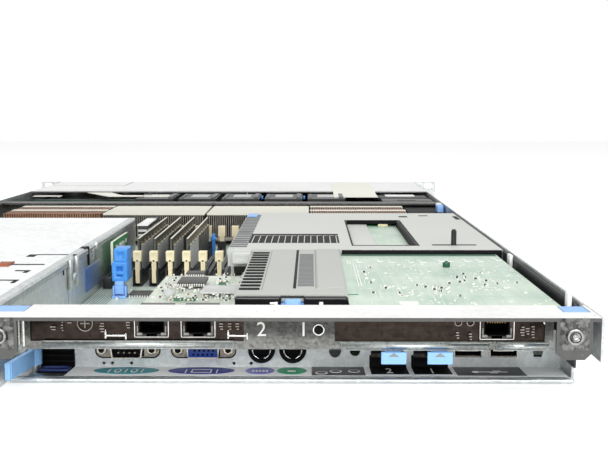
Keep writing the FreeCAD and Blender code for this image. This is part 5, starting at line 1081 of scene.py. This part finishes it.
# Heat sinks.
# Two covered stacks of thin folded fins under cream lids, and two open copper ones with a pair of
# pale bars across; all stand on thick bases.
def fin_row(x0, x1, low, high, pitch, thick):
    """Folded sheets side by side, each with a short lip at its top."""
    fin = slab("fin", (x0, SINK_NEAR, low), (x0 + thick, SINK_FAR, high), 0)
    lip = slab("lip", (x0, SINK_NEAR + 0.4, high - 0.4), (x0 + pitch * 0.8, SINK_FAR - 0.4, high), 0)
    fin = merge("fin", [fin, lip])
    row = fin.modifiers.new("row", "ARRAY")
    row.use_relative_offset = False
    row.use_constant_offset = True
    row.constant_offset_displace = (pitch / 1000, 0, 0)
    row.count = int((x1 - x0 - pitch) / pitch) + 1
    bpy.ops.object.modifier_apply(modifier="row")
    return fin


(left, SINK_NEAR, foot), (right, SINK_FAR, top) = span("plate_sinks")
MIDDLE = (left + right) / 2
fin_grey = zinc_sheet("fin_grey", (0.22, 0.205, 0.175), (0.42, 0.395, 0.345), (0.3, 0.5), (1, 1, 0.1),
                      metal=0.5)
lid_cream = moulded("lid_cream", hue("E4E2D4"), 0.95, 0.45)
rows, lids = [], []
for x0, x1 in ((left, MIDDLE - 1.0), (MIDDLE + 1.0, right)):
    rows.append(fin_row(x0 + 0.3, x1 - 0.3, foot + 2.8, top - 1.4, 1.9, 0.55))
    rows.append(slab("base", (x0, SINK_NEAR, foot), (x1, SINK_FAR, foot + 3.2), 0.4, 2))
    lid = slab("lid", (x0, SINK_NEAR, top - 1.6), (x1, SINK_FAR, top), 0.3, 2)
    lids.append(press(lid, "+z", (1.2, 0), (0.3, -0.2)))
fit(merge("sink_fins", rows), fin_grey, stands_for=["plate_sinks"])
fit(merge("sink_lids", lids), lid_cream)
(left, _, foot), (right, _, top) = span("copper_sinks")
copper_fin = zinc_sheet("copper_fin", (0.34, 0.16, 0.09), (0.66, 0.40, 0.27), (0.25, 0.5), (1, 1, 0.1),
                        metal=0.6)
rows, bars = [], []
for x0, x1 in ((left, MIDDLE - 94.0), (MIDDLE + 94.0, right)):
    rows.append(fin_row(x0 + 0.2, x1 - 0.2, foot + 2.8, top, 2.15, 0.85))
    rows.append(slab("base", (x0, SINK_NEAR, foot), (x1, SINK_FAR, foot + 3.2), 0.4, 2))
    for y in (474.0, 508.0):
        bars.append(slab("bar", (x0, y, top - 0.4), (x1, y + 10.0, top + 0.3), 0.2, 2))
fit(merge("copper_rows", rows), copper_fin, stands_for=["copper_sinks"])
fit(merge("copper_bars", bars), lid_cream)


# Fans, cables and front trim.
# Grey paper labels lie on the fan housings; a white tape and a flat cable run over the fans; the
# front cover has a folded seam, and small clips sit along the right wall.
FAN_X, FAN_PITCH = -70.0, 43.7
top = span("fan_frames")[1][2]
labels, grips, bits = [], [], []
for k in range(5):
    x = FAN_X + k * FAN_PITCH
    labels.append(slab("label", (x - 9.0, 578.0, top), (x + 9.0, 604.0, top + 0.2), 0.05, 1))
    grips.append(slab("grip", (x + 13.0, 566.0, top), (x + 17.5, 606.0, top + 1.4), 0.5, 2))
    grips.append(slab("grip", (x - 17.5, 566.0, top), (x - 15.0, 606.0, top + 0.9), 0.4, 2))
    if k in (2, 3):
        bits.append(slab("bit", (x + 20.0, 586.0, top - 3), (x + 21.8, 590.0, top + 0.4), 0.4, 2))
fit(merge("fan_labels", labels), label_grey)
fit(merge("fan_grips", grips), dark_grey)
fit(merge("fan_bits", bits), deep_blue)
tape = slab("white_tape", (-199.0, 578.0, 39.4), (-170.0, 586.0, 40.0), 0.2, 2)
shift(tape, "+x", (0, -12, 0), 0.9)
cord = slab("white_tape", (-112.0, 574.0, 39.6), (-84.0, 580.0, 40.6), 0.4, 2)
fit(merge("white_tapes", [tape, cord]), band)
(left, _, _), (right, _, top) = span("front_top_cover")
seams = slabs(0.02, 1, (left + 2, 700.0, top, -128.0, 701.2, top + 0.08),
              (-128.0, 701.0, top, -126.6, 757.0, top + 0.08),
              (left + 2, 630.0, top, right - 2, 631.0, top + 0.08))
fit(merge("cover_seams", seams), grey_print)
fit(slab("white_slot", (168.0, 602.0, 37.4), (199.0, 617.0, 38.4), 0.3, 2), white_cap)
fit(slab("slot_bed", (160.0, 592.0, 34.0), (211.0, 623.0, 37.5), 0.4, 2), black_part)
fit(slab("rail_plate", (161.0, 545.0, 36.0), (211.0, 570.0, 38.4), 0.4, 2), rail_grey)
holes = [slab("hole", (176.0, 548.0, 38.3), (194.0, 553.0, 38.5), 0.05, 1),
         slab("bed", (179.5, 455.0, 8.0), (211.0, 520.0, 34.5), 0.5, 2)]
fit(merge("rail_hole", holes), mouth_black)
fit(slab("wall_clip_blue", (206.5, 478.0, 33.0), (212.2, 492.0, 40.6), 0.6, 2), light_blue)
clips = [slab("clip", (207.5, 492.0, 36.0), (212.6, 500.0, 41.2), 0.8, 3),
         slab("clip", (209.9, 172.0, 34.0), (211.9, 180.0, 41.6), 0.4, 2),
         slab("clip", (209.6, 40.0, 36.0), (211.8, 45.0, 44.0), 0.5, 2)]
fit(merge("wall_clips", clips), white_cap)


# Rolled hem of the tray.
# The floor's rear edge is folded over a round bead behind a narrow groove, from the power bay to
# the right wall. The groove's dark zinc is painted shade.
hem_zinc = zinc_sheet("hem_zinc", (0.50, 0.53, 0.53), (0.70, 0.73, 0.73), (0.25, 0.42), (0.05, 1, 1),
                      metal=0.8)
bead = slab("tray_bead", (-55.4, 39.8, 0.05), (214.6, 43.0, 2.5), 1.15, 5)
fit(press(bead, "-y", (0.1, 0.05)), hem_zinc)
groove_shade_zinc = zinc_sheet("groove_shade_zinc", (0.10, 0.11, 0.12), (0.22, 0.23, 0.24), (0.3, 0.5))
fit(slab("tray_groove", (-55.2, 42.4, 0.1), (214.4, 44.4, FLOOR), 0.2, 2), groove_shade_zinc)


# Skirts under the network jacks.
# The black fields of the label run up the panel behind each release tab, each with a shallow
# frame pressed round its edge.
skirts = []
for x in JACK_FIELDS:
    skirt = slab("skirt", (x, PANEL - 0.35, FLOOR + 0.1), (x + FIELD_WIDE, PANEL + 0.05, BOARD + 1.0), 0.2, 2)
    skirts.append(press(skirt, "-y", (0.8, 0), (0.2, -0.1)))
fit(merge("jack_skirts", skirts), mouth_black)


# Marks of the blue touch points.
# Grey triangles on the jack tabs, and the riser's blue push cap over its bright plate.
for number in (1, 2):
    node = "jack_tab_%d" % number
    low, high = span(node)
    alone()
    middle = at((low[0] + high[0]) / 2, low[1] - 0.03, high[2] - 2.6)
    bpy.ops.mesh.primitive_cylinder_add(vertices=3, radius=0.0024, depth=0.00012, location=middle,
                                        rotation=(math.pi / 2, 0, 0))
    bpy.context.object.scale = (1.25, 0.55, 1)
    sign = press(settle(), "-y", (0.2, 0.02))
    sign.name = "tab_sign_%d" % number
    fit(sign, grey_print, node)
(_, near, foot), _ = span("riser_button")
cap = slab("button_cap", (76.2, near - 2.6, foot + 1.6), (84.4, near + 0.2, 38.4), 1.2, 5)
fit(press(cap, "-y", (0.6, 0), (0.3, -0.3)), light_blue, "riser_button")
plates = slabs(0.3, 2, (73.8, 52.0, 28.6, 86.2, 52.8, 35.0), (73.8, 52.0, 28.6, 86.2, 56.0, 29.6))
plates.append(slab("plate", (69.0, 51.0, 30.0), (71.4, 52.9, 37.0), 0.4, 2))
fit(merge("button_plate", plates), bright_zinc)


# Small parts of the two cards.
# Resistors and capacitors with bright end caps, gull-wing chips, solder joints and printed marks,
# placed one by one where they stand out and in even scatter elsewhere.
LEFT_TOP = span("left_card")[1][2]
RIGHT_TOP = span("right_card")[1][2]
SUNK = 0.45
places = random.Random(11)
cap_ends = moulded("cap_ends", hue("E9EAE4"), 0.9, 0.3)
brown_part = moulded("brown_part", hue("9A7B55"), 0.8, 0.45)
dark_part = moulded("dark_part", hue("3B3D3A"), 0.75, 0.45)
deep_green = moulded("deep_green", hue("1E5C42"), 0.75, 0.4)


def gull_chip(x0, x1, y0, y1, top, pins):
    """Chip body and its two rows of bent leads."""
    body = slab("chip", (x0, y0, top + 0.2), (x1, y1, top + 2.0), 0.25, 2)
    press(body, "+z", (0.7, 0), (0.2, 0.1))
    leads = []
    wide = 0.26 * (x1 - x0) / pins
    for k in range(pins):
        x = x0 + (k + 0.5) * (x1 - x0) / pins
        for y, side in ((y0, -1), (y1, 1)):
            for start, end, rise in ((0, 2.0, 0.35), (-0.2, 0.5, 1.2)):
                near, far = sorted((y + side * start, y + side * end))
                leads.append(slab("lead", (x - wide, near, top), (x + wide, far, top + rise), 0))
    return body, leads


bodies, leads = [], []
for *sides, pins in ((10.0, 26.5, 152.0, 172.0, 12), (11.0, 22.5, 184.0, 194.0, 8),
                     (62.0, 66.0, 60.0, 66.0, 4)):
    body, feet = gull_chip(*sides, LEFT_TOP, pins)
    bodies.append(body)
    leads.extend(feet)
fit(merge("card_chips", bodies), dark_part)
fit(merge("card_leads", leads), cap_ends)
plate = slab("card_plate", (26.5, 127.0, LEFT_TOP), (47.0, 148.0, LEFT_TOP + 1.1), 0.3, 2)
fit(press(plate, "+z", (1.5, 0), (0.3, -0.2)), label_grey)
coil = peg("card_coil", "z", (9.6, 124.0, LEFT_TOP), 3.4, 2.6, 0.5, 28)
fit(press(coil, "+z", (1.0, 0), (0.2, -1.0)), label_grey)
small = slab("small", (0, 0, 0), (1.6, 0.9, 0.8), 0)
ends = merge("ends", slabs(0, 1, (-0.35, -0.05, 0, 0.1, 0.95, 0.85), (1.5, -0.05, 0, 1.95, 0.95, 0.85)))
groups = {"dark": [], "brown": [], "ends": []}


def place_part(x, y, top, kind, turn):
    """Small part of one kind, with its bright ends unless it is a plain solder joint."""
    groups[kind].append(copy(small, x, y, top, turn))
    if kind != "ends":
        groups["ends"].append(copy(ends, x, y, top, turn))


KEPT_CLEAR = ((9.0, 28.0, 148.0, 197.0), (25.0, 48.5, 125.0, 150.0), (-2.0, 14.0, 118.0, 130.0))
for k in range(210):
    x, y = places.uniform(-1.5, 50.0), places.uniform(108.0, 195.0)
    if any(x0 < x < x1 and y0 < y < y1 for x0, x1, y0, y1 in KEPT_CLEAR):
        continue
    kind = places.choice(("dark", "dark", "brown", "ends", "ends"))
    place_part(x, y, LEFT_TOP, kind, places.choice((0, math.pi / 2)))
for x0, x1, y0, y1, count, kinds in (
        (150.0, 162.0, 66.0, 94.0, 16, ("brown", "dark", "ends")),
        (132.0, 140.0, 64.0, 72.0, 6, ("brown", "ends")),
        (118.0, 123.0, 72.0, 155.0, 12, ("brown", "dark", "ends")),
        (126.0, 136.0, 84.0, 96.0, 7, ("ends",)),
        (160.0, 192.0, 78.0, 90.0, 16, ("ends",)), (164.0, 186.0, 96.0, 132.0, 14, ("ends", "dark")),
        (136.0, 150.0, 60.0, 120.0, 12, ("ends",)), (186.0, 205.0, 100.0, 165.0, 16, ("ends",)),
        (125.0, 205.0, 40.0, 60.0, 18, ("ends",)), (124.0, 204.0, 120.0, 165.0, 26, ("ends",)),
        (124.0, 200.0, 62.0, 118.0, 34, ("ends", "ends", "dark"))):
    level = RIGHT_TOP - (0.0 if "dark" in kinds else SUNK)
    for k in range(count):
        place_part(places.uniform(x0, x1), places.uniform(y0, y1), level,
                   places.choice(kinds), places.choice((0, math.pi / 2, math.pi / 4)))
bpy.data.objects.remove(small)
bpy.data.objects.remove(ends)
fit(merge("parts_dark", groups["dark"]), dark_part)
fit(merge("parts_brown", groups["brown"]), brown_part)
fit(merge("parts_ends", groups["ends"]), cap_ends)
stroke = slab("stroke", (-0.4, -4.5, -0.2), (0.4, 4.5, 0.25), 0.1, 1)
shift(stroke, "+y", (-1.6, 0, 0))
stroke = merge("stroke", [stroke, slab("foot", (0.0, -5.0, -0.2), (3.0, -3.6, 0.25), 0.1, 1)])
marks = []
for x, y in ((117.3, 173.4), (130.0, 177.0), (136.9, 173.4), (148.7, 173.4), (155.8, 173.4), (167.6, 177.0),
             (172.9, 177.0), (183.7, 177.0), (191.4, 177.0), (203.0, 180.0)):
    marks.append(copy(stroke, x, y, RIGHT_TOP))
bpy.data.objects.remove(stroke)
for k in range(4):
    x = 111.0 + k * 1.5
    y = 178.0 - k * 6
    marks.append(slab("line", (x, 92.0, RIGHT_TOP - 0.1), (x + 0.5, y, RIGHT_TOP + 0.06), 0.02, 1))
marks.append(slab("tag", (131.4, 44.2, RIGHT_TOP - 0.1), (140.6, 51.6, RIGHT_TOP + 0.12), 0.04, 1))
fit(merge("card_marks", marks), white_print)
lump = peg("card_post", "z", (168.6, 152.0, RIGHT_TOP), 2.2, 3.0, 0.5, 24)
press(lump, "+z", (0.8, 0), (0.2, 0.6))
border = slab("card_border", (108.0, 193.5, RIGHT_TOP - 0.1), (206.5, 200.4, RIGHT_TOP + 0.06), 0.03, 1)
fit(merge("card_green", [lump, border]), deep_green)
dots = [slab("dot", (x, 39.0, RIGHT_TOP - 0.1), (x + 1.2, 41.6, RIGHT_TOP + 0.4), 0.2, 1)
        for x in (167.4, 169.4, 180.2, 182.2)]
fit(merge("card_dots", dots), mouth_black)


# Odd pieces round the boards.
# A pale box stands under the shroud's near corner, and a blue peg by the far latches.
box = slab("corner_box", (38.6, 197.0, 31.6), (51.2, 205.3, 39.2), 1.2, 4)
fit(press(box, "-y", (1.0, 0), (0.4, -0.3)), label_grey)
post = [slab("peg", (4.9, 395.5, 6.8), (8.0, 399.0, 24.8), 0.5, 3),
        slab("peg", (4.2, 395.0, 19.0), (8.7, 399.4, 22.0), 0.6, 3)]
fit(merge("blue_peg", post), deep_blue)


# Traces and prints.
# Fine tracks on the right card and the motherboard, a chip and small parts by the blue retainer,
# and the rows of short strokes printed on the two card brackets.
STROKE_PITCH = 1.25
lines = []
for k in range(46):
    x, y = places.uniform(112.0, 196.0), places.uniform(40.0, 168.0)
    long, wide = places.uniform(6.0, 18.0), places.uniform(0.25, 0.45)
    across, along = (wide, long) if places.random() < 0.75 else (long / 2, wide)
    lines.append(slab("line", (x, y, RIGHT_TOP - 0.1), (x + across, y + along, RIGHT_TOP + 0.05), 0.02, 1))
pale_track = moulded("pale_track", hue("E2EEE2"), 0.9, 0.4)
fit(merge("card_tracks", lines), pale_track)
lines = []
for k in range(9):
    x = -55.5 + k * 1.7
    lines.append(slab("line", (x, 150.0 + k * 4, BOARD - 0.1), (x + 0.8, 262.0, BOARD + 0.05), 0.02, 1))
dark_track = moulded("dark_track", hue("75857A"), 0.9, 0.4)
fit(merge("board_tracks", lines), dark_track)
body, feet = gull_chip(-31.0, -16.0, 214.0, 228.0, BOARD, 9)
body.name = "board_chip"
fit(body, dark_part)
feet.extend(slab("cap", (x, y, BOARD), (x + 1.6, y + 2.4, BOARD + 1.3), 0.1, 1)
            for x, y in ((-36.0, 226.0), (-34.0, 233.0), (-37.4, 216.0), (-33.4, 219.0), (-10.0, 222.0),
                         (-7.4, 226.0), (-38.0, 206.0)))
fit(merge("board_parts", feet), cap_ends)


def print_stroke(x0, x1, z0, z1):
    """Short stroke printed on a card bracket."""
    return slab("stroke", (x0, BRACKET - 0.06, z0), (x1, BRACKET + 0.02, z1), 0.02, 1)


strokes = []
for x0, x1, z0, z1 in ((-31.7, -29.2, 28.3, 32.0), (-26.7, -25.7, 27.9, 33.4), (-24.2, -21.8, 31.5, 33.4),
                       (-8.8, -6.6, 27.4, 32.4), (3.5, 5.3, 29.2, 33.4), (46.6, 48.4, 28.6, 32.4),
                       (50.8, 52.2, 28.6, 32.4), (54.2, 55.8, 28.6, 32.4), (156.0, 157.4, 24.6, 28.4),
                       (162.0, 163.4, 24.0, 28.4), (185.6, 187.6, 26.0, 32.0), (188.2, 189.8, 26.6, 30.6),
                       (190.8, 192.2, 25.0, 32.0)):
    for k in range(int((z1 - z0) / STROKE_PITCH)):
        z = z0 + k * STROKE_PITCH
        strokes.append(print_stroke(x0 if k % 3 else x0 + 0.5, x1, z, z + 0.5))
for x, z, radius in ((-15.5, 31.4, 3.5), (157.0, 32.2, 1.6), (162.6, 32.2, 1.6)):
    strokes.append(hoop((x, BRACKET, z), radius, 0.22, 36, 6))
strokes.append(print_stroke(-17.6, -13.4, 31.2, 31.7))
strokes.append(print_stroke(-15.8, -15.3, 29.2, 33.6))
dim_print = moulded("dim_print", hue("B5ADA6"), 0.85, 0.5)
fit(merge("bracket_print", strokes), dim_print)
